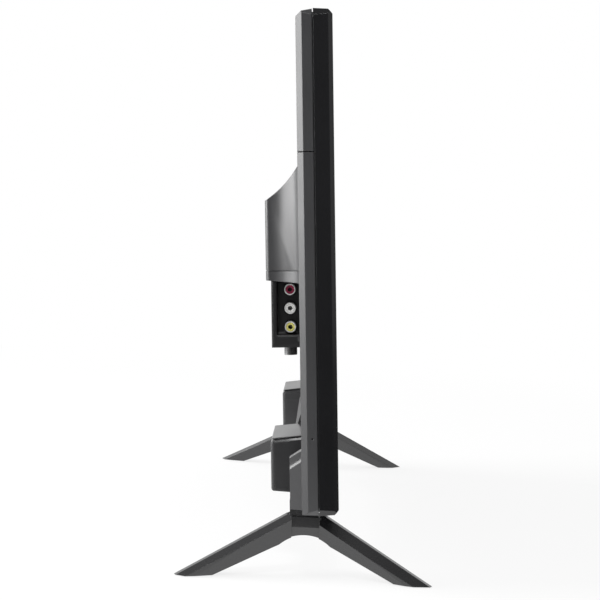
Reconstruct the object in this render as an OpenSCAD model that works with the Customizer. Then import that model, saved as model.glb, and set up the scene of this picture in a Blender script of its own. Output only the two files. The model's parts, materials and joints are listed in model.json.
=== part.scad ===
// Flat screen television on two splayed feet.
// +X is the way the screen faces, Y runs across the width and +Z is up.
// The origin lies on the floor, midway between the feet.
// Inside panel_frame() the same axes lean back with the panel: x is the depth from the
// rear plane towards the screen, y runs across, and z is the height above the panel's bottom edge.

/* [Screen] */
// Width of the lit picture
active_w = 521.3; // [470:0.1:600]
// Height of the lit picture
active_h = 293.2; // [280:0.1:350]
// Bezel beside the picture, on each side
bezel_side = 15.85; // [13:0.05:24]
// Bezel above the picture
bezel_top = 17.3; // [14:0.1:24]
// Bezel below the picture
bezel_bottom = 18.5; // [16:0.1:26]
// Thickness of the liquid crystal cell
cell_t = 1.4; // [1:0.1:2]
// Thickness of the stack of optical films
films_t = 0.6; // [0.4:0.1:1]
// Thickness of the light guide
guide_t = 3; // [2:0.1:4]
// Thickness of the reflector sheet
reflector_t = 0.3; // [0.2:0.1:0.5]
// Sheet thickness of the steel tray
tray_t = 0.8; // [0.6:0.1:1]

/* [Bezel] */
// Thickness of the panel at its edge
panel_t = 24; // [23:0.5:30]
// Thickness of the bezel's front lip
lip_t = 2.2; // [1.8:0.1:3]
// Thickness of the bezel's side wall
bezel_wall = 2.2; // [1.6:0.1:2.6]
// Inset of the chamfer round the front of the bezel
front_chamfer = 3.9; // [2:0.1:5]
// Depth of that chamfer
front_chamfer_p = 2.8; // [2.4:0.1:4]
// Taper of the bezel's side towards the front
bezel_taper = 0.65; // [0.2:0.05:1.2]
// Bevel across the corners of the panel
corner_bevel = 4.5; // [3:0.1:7]
// Step from the bezel's side in to the rear cover's side
bezel_proud = 0.4; // [0.3:0.1:1.2]
// Bevel round the window of the bezel
window_bevel = 1.6; // [0.5:0.1:2]

/* [Rear cover] */
// Wall thickness of the rear covers
cover_wall = 2.2; // [1.6:0.1:2.6]
// Depth of the parting line between rear cover and bezel
parting_p = 10.7; // [10.5:0.1:12]
// Width of the groove at that parting line
parting_gap = 0.7; // [0.4:0.1:1]
// Draft of the cover's side wall, as an inset at its rear
cover_draft = 2.1; // [0.5:0.1:3]
// Draft of the cover's top wall
top_draft = 1.2; // [0.5:0.1:3]
// Depth of the chamfer round the rear of the cover
rear_chamfer_p = 4; // [3:0.1:6]
// Inset of that chamfer
rear_chamfer_in = 3.4; // [2:0.1:6]
// Draft of the cover's bottom wall
bottom_draft = 0.3; // [0.2:0.1:2]
// Height of the seam between the upper and the lower cover
seam_r = 237; // [230:0.5:255]
// Width of the groove at that seam
seam_gap = 0.6; // [0.6:0.1:1.6]
// Height of the strip that laps behind that seam
lap_h = 5; // [3:0.5:7]
// Distance from the rear plane of the small hole in each side that frees a latch
latch_p = 7.6; // [6:0.1:9]
// Height of that hole
latch_r = 51; // [48:0.5:60]
// Diameter of that hole
latch_d = 1.3; // [1:0.1:2]

/* [Electronics hump] */
// How far the hump stands out behind the rear plane
hump_d = 27.4; // [25:0.1:34]
// Width of the hump's flat rear face
hump_w = 210; // [200:1:230]
// Height of the lower edge of that face
hump_bottom = 147; // [146:0.5:152]
// Height of the upper edge of that face
hump_top = 206.1; // [203:0.1:210]
// Radius of the concave flare above the hump
top_flare_radius = 79; // [60:1:90]
// Slope of that flare where it leaves the rear plane, in degrees
top_flare_start = 28; // [24:1:32]
// Slope of that flare where it ends in a straight ramp, in degrees
top_flare_turn = 57; // [54:1:62]
// Rounding of the hump's upper rear edge
top_round = 1.2; // [0.8:0.1:2]
// Radius of the concave flares beside the hump
side_flare_radius = 33; // [30:0.5:34]
// Slope of those flares where they leave the rear plane, in degrees
side_flare_start = 12; // [8:1:20]
// Slope of those flares where they end in a straight ramp, in degrees
side_flare_turn = 75; // [70:1:76]
// Rounding of the hump's upright rear edges
side_round = 4; // [2:0.1:4.4]
// Rise of the hump's underside from the rear plane to its rear edge
underside_rise = 2; // [1:0.1:5]
// Height of the groove round the hump above its lower edge
groove_up = 6.7; // [4:0.1:9]
// Width and depth of that groove
groove_size = 0.8; // [0.5:0.1:1.2]

/* [Bottom band] */
// How far the band along the bottom stands out
band_d = 7.9; // [7:0.1:10]
// Height of the band beside the speaker boxes
band_low_top = 34; // [33:0.5:36]
// Height of the ramp on top of that stretch
band_low_ramp = 4.5; // [3:0.1:5]
// Height of the ears at the band's outer ends
band_end_top = 42.5; // [40:0.1:48]
// Height of the ramp on top of those ears
band_end_ramp = 5; // [3:0.1:8]
// Width of an ear
ear_w = 11; // [9:0.5:14]
// Depth of the scoop in an ear's side
scoop_deep = 1; // [0.6:0.1:1.2]
// Radius of that scoop
scoop_r = 4.8; // [4:0.1:7]
// Height of the band between the speaker boxes
band_mid_top = 58; // [50:0.5:64]
// Height of the ramp on top of that stretch
band_mid_ramp = 25; // [15:0.5:30]
// Height of the band's underside
band_bottom = 3.4; // [2:0.1:5]
// Length of the ramp at each end of the band
band_end_slope = 4; // [2:0.5:8]
// Distance of the band's ends from the rear edge of the cover
band_in = 2; // [1:0.5:4]

/* [Speakers] */
// Width of a speaker box
speaker_box_w = 73; // [70:1:90]
// Height of a speaker box where it meets the rear plane
speaker_box_h = 40.6; // [38:0.1:46]
// How far a speaker box stands out
speaker_box_d = 22.5; // [21:0.1:28]
// Height of the underside of a speaker box
speaker_box_r = 2.6; // [2:0.1:6]
// Distance of a speaker box from the middle of the set
speaker_y = 160; // [150:1:168]
// Draft of the box's top and underside, in degrees
speaker_draft = 5.5; // [2:0.5:7]
// Fillet on the edges of the box
speaker_fillet = 2; // [1:0.1:3]
// Height of the rim round the top of the box, with a bevel, a groove and a cap
speaker_rim_h = 3.2; // [2.8:0.1:4]
// Inset of that bevel
speaker_rim_in = 1.2; // [0.8:0.1:1.4]
// Radius of a speaker cone
cone_r = 11; // [9:0.5:12]
// Stroke of a speaker cone to each side
cone_stroke = 0.5; // [0.2:0.1:0.8]

/* [Connector box] */
// Width of the connector box
box_w = 59.5; // [59.5:0.5:62]
// How far the connector box stands out
box_d = 23.6; // [22.5:0.1:24.5]
// Height of the underside of the connector box
box_r = 97; // [94:0.5:98]
// Wall thickness of the connector box
box_wall = 1.8; // [1.4:0.1:2]
// Width of the frame behind the jack bay
bay_frame = 3.8; // [3.4:0.1:4.5]
// Height of the sill below the jack bay
bay_sill = 9.3; // [8.6:0.1:10]
// Depth of the jack bay
bay_depth = 14; // [12:0.5:14]
// Distance between neighbouring jacks
jack_pitch = 14; // [13:0.1:14]
// Outside diameter of a jack
jack_d = 8.3; // [8.2:0.1:9]
// Bore of a jack
jack_bore = 3.3; // [3.2:0.1:3.6]
// Length of a jack's barrel
jack_len = 9.4; // [8:0.1:9.6]
// Distance of the jacks behind the rear plane
jack_back = 9.8; // [9:0.1:10]
// Height of the lowest jack above the underside of the box
jack_up = 14.9; // [14.5:0.1:16]
// Outside diameter of the antenna connector's thread
antenna_d = 9.5; // [9.4:0.1:9.6]
// Length of that thread below the box
antenna_len = 6; // [5:0.5:10]
// Hole for the pin of an antenna plug
antenna_pin_d = 1.2; // [1:0.1:1.4]
// Bore of the headphone jack
headphone_d = 3.5; // [3.5:0.1:3.6]

/* [Wall mount] */
// Distance between the mounting holes, across and up
wall_mount = 75; // [75:1:76]
// Height of the middle of the mounting holes
wall_mount_r = 141.5; // [140.5:0.5:142]
// Distance of the mounting faces behind the rear plane
wall_mount_back = 23; // [22:0.1:24]
// Tapping diameter of the mounting thread
wall_thread_d = 3.3; // [3.2:0.1:3.5]
// Outside diameter of a threaded insert
insert_d = 6.4; // [6:0.1:7]
// Length of a threaded insert
insert_len = 12; // [10:0.5:14]
// Diameter of the posts that hold the inserts
post_d = 13; // [12:0.5:15]

/* [Keys] */
// Distance of the key column from the edge of the panel
key_inset = 28.5; // [26:0.5:34]
// Height of the lowest key
key_r = 72; // [68:1:80]
// Distance between neighbouring keys
key_pitch = 13; // [12:0.5:14]
// Width of a key
key_w = 10; // [8:0.5:11]
// Height of a key
key_h = 7; // [6:0.5:8]
// Stroke of a key
key_travel = 0.8; // [0.4:0.1:1]
// How far a key stands out of the cover
key_proud = 0.9; // [0.4:0.1:1.4]

/* [Feet] */
// Distance of a foot's tips in front of and behind its middle
foot_reach = 85.1; // [75:0.1:100]
// Distance of a foot's heels in front of and behind its middle
foot_heel = 62.7; // [50:0.1:65]
// Distance of a foot's hub from the edge of the panel
foot_inset = 41.2; // [36:0.1:50]
// Outward splay of the legs, in degrees
foot_splay = 20; // [10:0.5:26]
// Width of a leg at its crease
leg_w = 17; // [15:0.5:20]
// Width of a leg at its tip
leg_tip_w = 15; // [12:0.5:17]
// Width of the flat along the top of a leg
leg_ridge_w = 4; // [3:0.5:6]
// Width of a leg at its underside
leg_keel_w = 10; // [8:0.5:12]
// Half the length of the hub between the legs
hub_half = 10.2; // [9:0.1:11]
// Height of the panel's lower rear edge above the floor
panel_z = 43.9; // [40:0.1:60]
// Distance of that edge behind the middle of the feet
panel_back = 2.4; // [1.5:0.1:4]
// Backward lean of the panel, in degrees
lean = 3.5; // [1:0.5:5]
// Depth of the hub below the panel's bottom edge, at the crown of its arch
hub_deep = 18.1; // [17:0.1:19]
// Depth of the hub's crease below the panel's bottom edge
hub_crease = 12.3; // [10:0.1:14]
// Depth of a leg's underside below the panel's bottom edge, where it meets the hub
leg_deep = 20.4; // [20:0.1:24]
// Depth of a leg's top below the panel's bottom edge, where it meets the hub
leg_drop = 4.2; // [3:0.1:6]
// Depth of the crease below the top of a front leg
front_crease = 5.2; // [3:0.1:6]
// Depth of the crease below the top of a rear leg
rear_crease = 2.8; // [2.4:0.1:6]
// Depth of a leg's keel below its top
keel_deep = 14.4; // [12:0.1:16]
// Thickness of the rubber soles
pad_t = 1.4; // [1:0.1:2]
// How far a sole stands out of its pocket
pad_proud = 0.4; // [0.2:0.1:0.6]
// Width of a sole
pad_w = 7; // [5:0.5:8]
// Height of the tongue that stands in the band
tongue_h = 25; // [24:0.5:26]
// Width of that tongue
tongue_w = 17; // [15:0.5:18]

/* [Fasteners] */
// Diameter of the cover screws
screw_d = 3; // [2.6:0.1:3.2]
// Head diameter of the cover screws
screw_head_d = 5.8; // [5.4:0.1:6.4]
// Head height of the cover screws
screw_head_h = 2; // [1.6:0.1:2.2]
// Diameter of the foot screws
foot_screw_d = 4; // [3.6:0.1:4.2]
// Head diameter of the foot screws
foot_head_d = 7.4; // [7:0.1:8]
// Head height of the foot screws
foot_head_h = 2.2; // [1.8:0.1:2.6]
// Length of the foot screws
foot_screw_len = 7; // [6:0.5:7.5]
// Height of the lower foot screw
foot_screw_r = 11; // [11:0.1:12]
// Distance between the two screws of a foot
foot_screw_pitch = 9.4; // [9:0.1:9.8]
// Distance of the outer cover screws from the edge of the panel
screw_side = 38; // [34:0.5:44]
// Distance of the top row of cover screws from the top of the panel
screw_top = 24; // [20:0.5:30]
// Distance of the cover screws from the seam
screw_seam = 18; // [14:0.5:24]

/* [Clearances] */
// Gap between sheets in the screen stack
shim = 0.1; // [0.05:0.01:0.15]
// Gap between pieces that are pushed together
fit = 0.2; // [0.15:0.05:0.25]
// Gap round pieces that move
run = 0.4; // [0.3:0.05:0.5]

/* [Hidden] */
$fn = 48;

// Panel outline
panel_w = active_w + 2 * bezel_side;
panel_h = active_h + bezel_top + bezel_bottom;
half_w = panel_w / 2;
bezel_rear = parting_p + parting_gap;
tongue_p = bezel_rear + 2;
side_at_seam = half_w - bezel_proud;
side_at_chamfer = side_at_seam - cover_draft;
side_at_rear = side_at_chamfer - rear_chamfer_in;
top_at_seam = panel_h - bezel_proud;
top_at_chamfer = top_at_seam - top_draft;
top_at_rear = top_at_chamfer - rear_chamfer_in;
bottom_at_seam = bezel_proud;
bottom_at_rear = bezel_proud + bottom_draft;

// Screen stack, from the front lip back to the tray
gasket = 0.3;
flange_t = 1.2;
cell_margin = 5.5;
frame_wall = 1.8;
lip_back = panel_t - lip_t;
cell_front = lip_back - gasket;
cell_back = cell_front - cell_t;
frame_front = cell_back - shim;
films_front = frame_front - flange_t - shim;
films_back = films_front - films_t;
guide_front = films_back - shim;
guide_back = guide_front - guide_t;
reflector_front = guide_back - shim;
reflector_back = reflector_front - reflector_t;
tray_in = reflector_back - shim;
tray_back = tray_in - tray_t;
module_side = 10;
module_top = 8;
module_bottom = 7;
led_row = 5;
led_pitch = 16;

// Hump
hump_y = hump_w / 2;
top_flare = [top_flare_radius, top_flare_start, top_flare_turn, top_round];
side_flare = [side_flare_radius, side_flare_start, side_flare_turn, side_round];
flare_bite = 0.06;
through = cover_wall + 0.5;
groove_r = hump_bottom + groove_up;
groove_end = 2;
vent_pitch = 7;
vent_w = 2.4;
vent_margin = 7;

// Connector box, on the side that the viewer has on the left
box_y0 = -hump_y - 0.5;
box_y1 = box_y0 + box_w;
bay_back_y = box_y0 + bay_depth;
bay_r0 = box_r + bay_sill;
antenna_y = box_y0 + 9;
hdmi_y = box_y0 + 24.5;
usb_y = box_y0 + 40.5;
headphone_y = box_y0 + 52.5;
hdmi_w = 15;
usb_w = 13.2;

// Boards
board_t = 1.6;
board_front = -0.8;
board_rear = board_front - board_t;
board_y0 = bay_back_y + box_wall + 1.5;
board_y1 = -6;
board_r0 = box_r + box_wall + fit;
board_r1 = hump_top - 6;
board_step_r = hump_bottom + 4;
board_step_y = box_y1 - box_wall - 2;
standoff_r = 2.8;
board_screw_r = 1.25;
board_head_r = 2.4;
board_head_h = 1.6;
board_screw_len = 8;
key_screw_len = 5;
main_holes = [[board_y0 + 12, board_r0 + 32], [board_step_y - 4, board_r0 + 22],
    [board_y0 + 4, board_r1 - 4], [board_y1 - 4, board_r1 - 4], [board_y1 - 4, board_step_r + 4]];
power_y0 = 8;
power_y1 = hump_y - 4;
power_holes = [for (y = [power_y0 + 4, power_y1 - 4]) for (r = [board_step_r + 4, board_r1 - 4]) [y, r]];
chip_y = board_y0 + 24;
chip_r = board_r1 - 22;
chip_t = 1.5;
sink_h = 10;
inlet_y = hump_y - 25;
inlet_back = 11;
inlet_w = 21;
inlet_mouth = underside(-inlet_back) + fit;

// Keys
key_y = half_w - key_inset;
key_flange_t = 1;
key_flange = 1;
key_post_tip = cover_wall + run + key_flange_t + 1.4;
switch_tip = key_post_tip + key_travel + run;
switch_t = 3.9;
key_board_p = switch_tip + switch_t;
key_board_t = 1;
key_board_w = 13;
key_count = 7;
key_holes = [key_r - key_pitch, key_r + key_count * key_pitch];

// Wall mount
wall_points = [for (y = [-1, 1]) for (r = [-1, 1]) [y * wall_mount / 2, wall_mount_r + r * wall_mount / 2]];
wall_recess_d = post_d + 6;
post_end = -wall_mount_back + insert_len + 2;
post_root_r = post_d / 2 + 1.2;
thread_deep = insert_len - 2;

// Cover screws, as places across and up
screw_outer = half_w - screw_side;
screw_mid = 82;
screw_low_y = screw_outer - 20;
screw_low_up = 14;
screw_inner_y = 92;
screw_inner_up = 12;
upper_screws = [for (s = [-1, 1]) for (q = [[screw_outer, panel_h - screw_top],
    [screw_mid, panel_h - screw_top], [screw_outer, seam_r + screw_seam]]) [s * q[0], q[1]]];
lower_screws = [for (s = [-1, 1]) for (q = [[screw_outer, seam_r - screw_seam],
    [screw_low_y, band_end_top + screw_low_up],
    [screw_inner_y, band_mid_top + screw_inner_up]]) [s * q[0], q[1]]];
head_seat = 3;
lap_t = 1.5;
cover_boss_r = screw_d / 2 + 2.6;
screw_len = tray_in - head_seat - 0.4;

// Speakers
speaker_box_y = speaker_box_w / 2;
speaker_floor = speaker_box_r + cover_wall;
speaker_plate_r = speaker_floor + (speaker_box_d - cover_wall) * tan(speaker_draft) + fit;
speaker_plate_t = 1.5;
speaker_plate_w = speaker_box_w - 2 * cover_wall - 8;
speaker_plate_d = 25;
speaker_p = -speaker_box_d + cover_wall + 0.5 + speaker_plate_d / 2;
magnet_r = 9;
magnet_h = 8;
basket_h = 8;
fillet_bite = 0.02;
rim_groove_low = 1.4;
rim_groove_high = 0.7;
rim_groove_in = speaker_rim_in + 0.6;
rim_cap_in = 0.9;
rim_end = 0.3;
slot_count = 13;
slot_pitch = 4;
slot_w = 1.8;

// Feet
foot_y = half_w - foot_inset;
foot_seat = -band_d + foot_head_h + 0.1;
foot_wall = foot_head_h + 1.6;
tongue_back = -band_d + foot_wall + fit;
tongue_t = 6.4;
tongue_front = tongue_back + tongue_t;
foot_notch = 7;
neck_proud = 0.8;
neck_low = 9;
leg_top_z = panel_z - leg_drop;
leg_top_x = hub_half + 3.3;
leg_under_x = hub_half + 0.6;
leg_under_z = panel_z - leg_deep;
arch_z = panel_z - hub_deep;
arch_rise = arch_z - leg_under_z;
arch_r = (leg_under_x * leg_under_x + arch_rise * arch_rise) / (2 * arch_rise);
leg_long = foot_reach / cos(foot_splay);
heel_long = foot_heel / cos(foot_splay);
leg_slope = atan2(leg_top_z, leg_long - leg_top_x);
pad_x0 = heel_long + 4;
pad_x1 = leg_long - 9;
foot_screw_rs = [foot_screw_r, foot_screw_r + foot_screw_pitch];

// Height of the hump's underside at a depth p
function underside(p) = hump_bottom - underside_rise * (hump_d + p) / hump_d;

// Places the children in the leaning frame of the panel
module panel_frame() {
    translate([-panel_back, 0, panel_z]) rotate([0, -lean, 0]) children();
}

// Extrudes a depth and height profile across the set, from y0 to y1
module across(y0, y1) {
    translate([0, y1, 0]) rotate([90, 0, 0]) linear_extrude(y1 - y0) children();
}

// Extrudes a depth and width profile upwards, from r0 to r1
module upward(r0, r1) {
    translate([0, 0, r0]) linear_extrude(r1 - r0) children();
}

// Extrudes a width and height outline towards the screen, from p0 to p1
module forward(p0, p1) {
    translate([p0, 0, 0]) rotate([90, 0, 90]) linear_extrude(p1 - p0) children();
}

// A block between two corners
module block(p, y, r) {
    translate([p[0], y[0], r[0]]) cube([p[1] - p[0], y[1] - y[0], r[1] - r[0]]);
}

// A round bar towards the screen, at y and r, from p0 to p1
module bar(y, r, p0, p1, radius) {
    translate([p0, y, r]) rotate([0, 90, 0]) cylinder(h = p1 - p0, r = radius);
}

// The panel's outline, drawn in by an inset, with bevelled corners
module outline(inset) {
    b = max(corner_bevel - inset * (2 - sqrt(2)), 0.2);
    w = half_w - inset;
    top = panel_h - inset;
    polygon([[-w + b, inset], [w - b, inset], [w, inset + b], [w, top - b],
        [w - b, top], [-w + b, top], [-w, top - b], [-w, inset + b]]);
}

// A rectangle round the picture, with a margin on each side
module picture(side, top, bottom) {
    translate([-active_w / 2 - side, bezel_bottom - bottom])
        square([active_w + 2 * side, active_h + top + bottom]);
}

// The rectangle of the screen module, drawn in by an inset
module screen_rect(inset) {
    picture(module_side - inset, module_top - inset, module_bottom - inset);
}

// The picture's opening through the bezel, opening out to the front
module bezel_window() {
    w = active_w / 2;
    r0 = bezel_bottom;
    r1 = r0 + active_h;
    f = panel_t + 1;
    e = window_bevel + 1;
    intersection() {
        upward(0, panel_h)
            polygon([[lip_back - 1, -w], [lip_back + lip_t - window_bevel, -w], [f, -w - e],
                [f, w + e], [lip_back + lip_t - window_bevel, w], [lip_back - 1, w]]);
        across(-half_w, half_w)
            polygon([[lip_back - 1, r0], [lip_back + lip_t - window_bevel, r0], [f, r0 - e],
                [f, r1 + e], [lip_back + lip_t - window_bevel, r1], [lip_back - 1, r1]]);
    }
}

module front_bezel() {
    shoulder = panel_t - front_chamfer_p;
    w = half_w;
    c = front_chamfer;
    t = bezel_taper;
    color([0.03, 0.03, 0.035]) panel_frame() difference() {
        intersection() {
            forward(bezel_rear, panel_t) outline(0);
            upward(0, panel_h)
                polygon([[bezel_rear, -w], [shoulder, -w + t], [panel_t, -w + c], [panel_t, w - c],
                    [shoulder, w - t], [bezel_rear, w]]);
            across(-w, w)
                polygon([[bezel_rear, 0], [shoulder, t], [panel_t, c], [panel_t, panel_h - c],
                    [shoulder, panel_h - t], [bezel_rear, panel_h]]);
        }
        forward(bezel_rear - 1, lip_back) outline(bezel_wall);
        bezel_window();
        sensor_hole(0);
    }
}

// The opening for the remote control receiver, drawn in by a gap
module sensor_hole(gap) {
    block([lip_back - 1, panel_t + 1], [-7 + gap, 7 - gap],
        [front_chamfer + 2 + gap, front_chamfer + 6.4 - gap]);
}

module sensor_window() {
    color([0.12, 0.03, 0.04]) panel_frame() intersection() {
        sensor_hole(fit);
        forward(lip_back + 0.4, panel_t - 0.1) outline(0);
    }
}

module sensor_board() {
    r = front_chamfer + 4.2;
    color([0.1, 0.35, 0.15]) panel_frame() union() {
        block([lip_back - 3.4, lip_back - 2.2], [-18, 18], [r - 3, r + 3]);
        block([lip_back - 2.2, lip_back - 0.2], [-3, 3], [r - 2.4, r + 2.4]);
        for (s = [-1, 1]) bar(s * 14, r, lip_back - 2.2, lip_back - fit, 1.6);
    }
}

module lcd_cell() {
    color([0.02, 0.02, 0.025]) panel_frame()
        forward(cell_back, cell_front) picture(cell_margin, cell_margin, cell_margin);
}

module cell_frame() {
    color([0.1, 0.1, 0.1]) panel_frame() difference() {
        forward(tray_back + 0.6, frame_front) screen_rect(0);
        forward(tray_back, frame_front - flange_t) screen_rect(frame_wall);
        forward(tray_back, frame_front + 1) picture(1.5, 1.5, 1.5);
    }
}

// A sheet of the backlight, standing on the row of light emitters
module backlight_sheet(p0, p1) {
    inset = frame_wall + fit + tray_t + fit;
    forward(p0, p1) difference() {
        screen_rect(inset);
        translate([-half_w, 0]) square([2 * half_w, bezel_bottom - module_bottom + inset + led_row]);
    }
}

module optical_films() {
    color([0.93, 0.94, 0.95]) panel_frame() backlight_sheet(films_back, films_front);
}

module light_guide() {
    color([0.85, 0.92, 0.95]) panel_frame() backlight_sheet(guide_back, guide_front);
}

module reflector_sheet() {
    color([0.97, 0.97, 0.97]) panel_frame() backlight_sheet(reflector_back, reflector_front);
}

led_floor = bezel_bottom - module_bottom + frame_wall + fit + tray_t;
led_half = active_w / 2 - 4;
led_bar_t = 1.6;

module led_bar() {
    color([0.9, 0.9, 0.88]) panel_frame()
        block([guide_back - 0.3, guide_front + 0.3], [-led_half, led_half],
            [led_floor + fit, led_floor + fit + led_bar_t]);
}

module led_chips() {
    n = floor((led_half - 6) / led_pitch);
    r = led_floor + fit + led_bar_t;
    color([0.98, 0.95, 0.6]) panel_frame()
        for (i = [-n:n])
            block([guide_back + 0.2, guide_front - 0.2], [i * led_pitch - 2.5, i * led_pitch + 2.5],
                [r, led_floor + led_row + fit - 0.4]);
}

module backlight_tray() {
    inset = frame_wall + fit;
    color([0.72, 0.73, 0.74]) panel_frame() difference() {
        union() {
            difference() {
                forward(tray_back, frame_front - flange_t - fit) screen_rect(inset);
                forward(tray_in, panel_t) screen_rect(inset + tray_t);
            }
            for (q = main_holes) bar(q[0], q[1], board_front, tray_back + 0.2, standoff_r);
            for (q = power_holes) bar(q[0], q[1], board_front, tray_back + 0.2, standoff_r);
        }
        for (q = main_holes) bar(q[0], q[1], board_front - 1, tray_back - 2, board_screw_r + 0.05);
        for (q = power_holes) bar(q[0], q[1], board_front - 1, tray_back - 2, board_screw_r + 0.05);
        for (q = upper_screws) bar(q[0], q[1], tray_back - 1, tray_in + 1, screw_d / 2 + 0.05);
        for (q = lower_screws) bar(q[0], q[1], tray_back - 1, tray_in + 1, screw_d / 2 + 0.05);
    }
}

// The drafted and chamfered back of the panel, drawn in by a wall thickness
module back_form(wall, rim) {
    s = side_at_seam - wall;
    c = side_at_chamfer - wall;
    e = side_at_rear - wall;
    intersection() {
        upward(0, panel_h)
            polygon([[wall, -e], [rear_chamfer_p, -c], [parting_p, -s], [rim, -s],
                [rim, s], [parting_p, s], [rear_chamfer_p, c], [wall, e]]);
        across(-half_w, half_w)
            polygon([[wall, bottom_at_rear + wall], [parting_p, bottom_at_seam + wall],
                [rim, bottom_at_seam + wall], [rim, top_at_seam - wall], [parting_p, top_at_seam - wall],
                [rear_chamfer_p, top_at_chamfer - wall], [wall, top_at_rear - wall]]);
        forward(-1, rim + 1) outline(bezel_proud + wall);
    }
}

// The rim of the back that enters the bezel
module rim_tongue() {
    tongue_wall = 1.6;
    difference() {
        forward(parting_p - 2, tongue_p) outline(bezel_wall + fit);
        forward(parting_p - 3, tongue_p + 1) outline(bezel_wall + fit + tongue_wall);
    }
}

// Bosses that reach from a cover's wall to the tray, round its screws
module screw_bosses(places) {
    for (q = places) bar(q[0], q[1], cover_wall - 0.2, tray_back - fit, cover_boss_r);
}

// The holes for a cover's screws
module screw_holes(places) {
    for (q = places) {
        bar(q[0], q[1], -hump_d - 1, head_seat, screw_head_d / 2 + fit);
        bar(q[0], q[1], head_seat - 1, tray_back + 1, screw_d / 2 + fit);
    }
}

// A row of upright slots through a wall
module slot_row(count, pitch, width, p, r) {
    for (i = [0:count - 1]) {
        y = (i - (count - 1) / 2) * pitch;
        block(p, [y - width / 2, y + width / 2], r);
    }
}

module upper_rear_cover() {
    low = seam_r + seam_gap / 2;
    vent_top = panel_h - 34;
    color([0.25, 0.25, 0.26]) panel_frame() difference() {
        union() {
            difference() {
                back_form(0, parting_p);
                back_form(cover_wall, parting_p + 1);
            }
            rim_tongue();
            screw_bosses(upper_screws);
        }
        block([-1, panel_t], [-half_w, half_w], [-1, low]);
        screw_holes(upper_screws);
        slot_row(25, 6, 2, [-1, cover_wall + 1], [vent_top - 16, vent_top]);
    }
}

// How far a flare reaches past the edge of the hump's rear face
function flare_reach(f) =
    (hump_d - f[0] * (cos(f[1]) - cos(f[2]))) / tan(f[2]) + f[0] * (sin(f[2]) - sin(f[1]));

// One side of the hump: a rounded rear edge, a straight ramp and a concave flare, drawn in by a wall
// thickness; f holds the flare's radius, its first and last slope and the rounding of the edge
module flare(f, edge, wall, low) {
    turn = f[2];
    r = f[0] + wall;
    centre = [-f[0] * cos(f[1]), edge + flare_reach(f) + f[0] * sin(f[1])];
    foot = centre[1] - r * sin(acos((wall - centre[0]) / r));
    back = -hump_d + wall;
    corner = edge - wall * tan(turn / 2);
    round_r = max(f[3] - wall, 0.4);
    cut = round_r * tan(turn / 2);
    difference() {
        union() {
            polygon([[through, low], [back, low], [back, corner - cut],
                [back + cut * sin(turn), corner + cut * cos(turn)],
                [centre[0] + r * cos(turn), centre[1] - r * sin(turn)], [wall, foot], [through, foot]]);
            translate([back + round_r, corner - cut]) circle(r = round_r + fillet_bite);
        }
        translate([centre[0] + flare_bite, centre[1]]) circle(r = r, $fn = 96);
    }
}

// The hump, drawn in by a wall thickness
module hump_form(wall) {
    intersection() {
        across(-half_w, half_w) intersection() {
            flare(top_flare, hump_top, wall, 0);
            polygon([[through, underside(through) + wall], [through, panel_h], [-hump_d - 1, panel_h],
                [-hump_d - 1, underside(-hump_d - 1) + wall]]);
        }
        upward(0, panel_h) union() {
            flare(side_flare, hump_y, wall, 0);
            mirror([0, 1]) flare(side_flare, hump_y, wall, 0);
        }
    }
}

// Upright vents in the hump's rear face, clear of the wall mount
module hump_vents() {
    n = floor((hump_y - vent_margin) / vent_pitch);
    for (i = [-n:n]) {
        y = i * vent_pitch;
        if (abs(abs(y) - wall_mount / 2) > wall_recess_d / 2 + cover_wall + vent_w)
            block([-hump_d - 1, -hump_d + cover_wall + 1], [y - vent_w / 2, y + vent_w / 2],
                [groove_r + vent_margin + groove_up, hump_top - vent_margin]);
    }
}

// The groove round the hump
module hump_groove() {
    difference() {
        block([-hump_d - 1, -groove_end], [-half_w, half_w], [groove_r, groove_r + groove_size]);
        hump_form(groove_size);
    }
}

// Profile of the bottom band, with a ramp on top, drawn in by a wall thickness
module band_profile(top, ramp, wall) {
    m = ramp / band_d;
    drop = wall * sqrt(1 + m * m);
    low = band_bottom + wall;
    polygon([[through, low], [-band_d + wall, low], [-band_d + wall, top - ramp + m * wall - drop],
        [0, top - drop], [through, top - drop]]);
}

// The bottom band with an ear at each end, drawn in by a wall thickness
module band_form(wall) {
    e = side_at_rear - band_in - wall;
    mid = speaker_y - speaker_box_y + cover_wall;
    intersection() {
        union() {
            across(-half_w, half_w) band_profile(band_low_top, band_low_ramp, wall);
            across(-mid, mid) band_profile(band_mid_top, band_mid_ramp, wall);
            for (s = [0, 1])
                mirror([0, s, 0]) across(side_at_rear - band_in - ear_w + wall, half_w)
                    band_profile(band_end_top, band_end_ramp, wall);
        }
        upward(0, panel_h)
            polygon([[through, -e], [0, -e], [-band_d, -e + band_end_slope], [-band_d, e - band_end_slope],
                [0, e], [through, e]]);
    }
}

// The scoop in the side of an ear, along the slope of its top edge
module ear_scoop(s) {
    turn = atan2(band_end_slope, band_d);
    tilt = atan2(band_end_ramp, band_d);
    out = scoop_r - scoop_deep;
    y = side_at_rear - band_in - band_end_slope / 2 + out * cos(turn);
    intersection() {
        block([-band_d - 1, -rim_end], [-half_w, half_w], [0, panel_h]);
        translate([-band_d / 2 - out * sin(turn), s * y, band_end_top - band_end_ramp / 2 - scoop_r * 0.8])
            rotate([0, -tilt, s * turn]) rotate([0, 90, 0])
                cylinder(h = 4 * band_d, r = scoop_r, center = true);
    }
}

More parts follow.
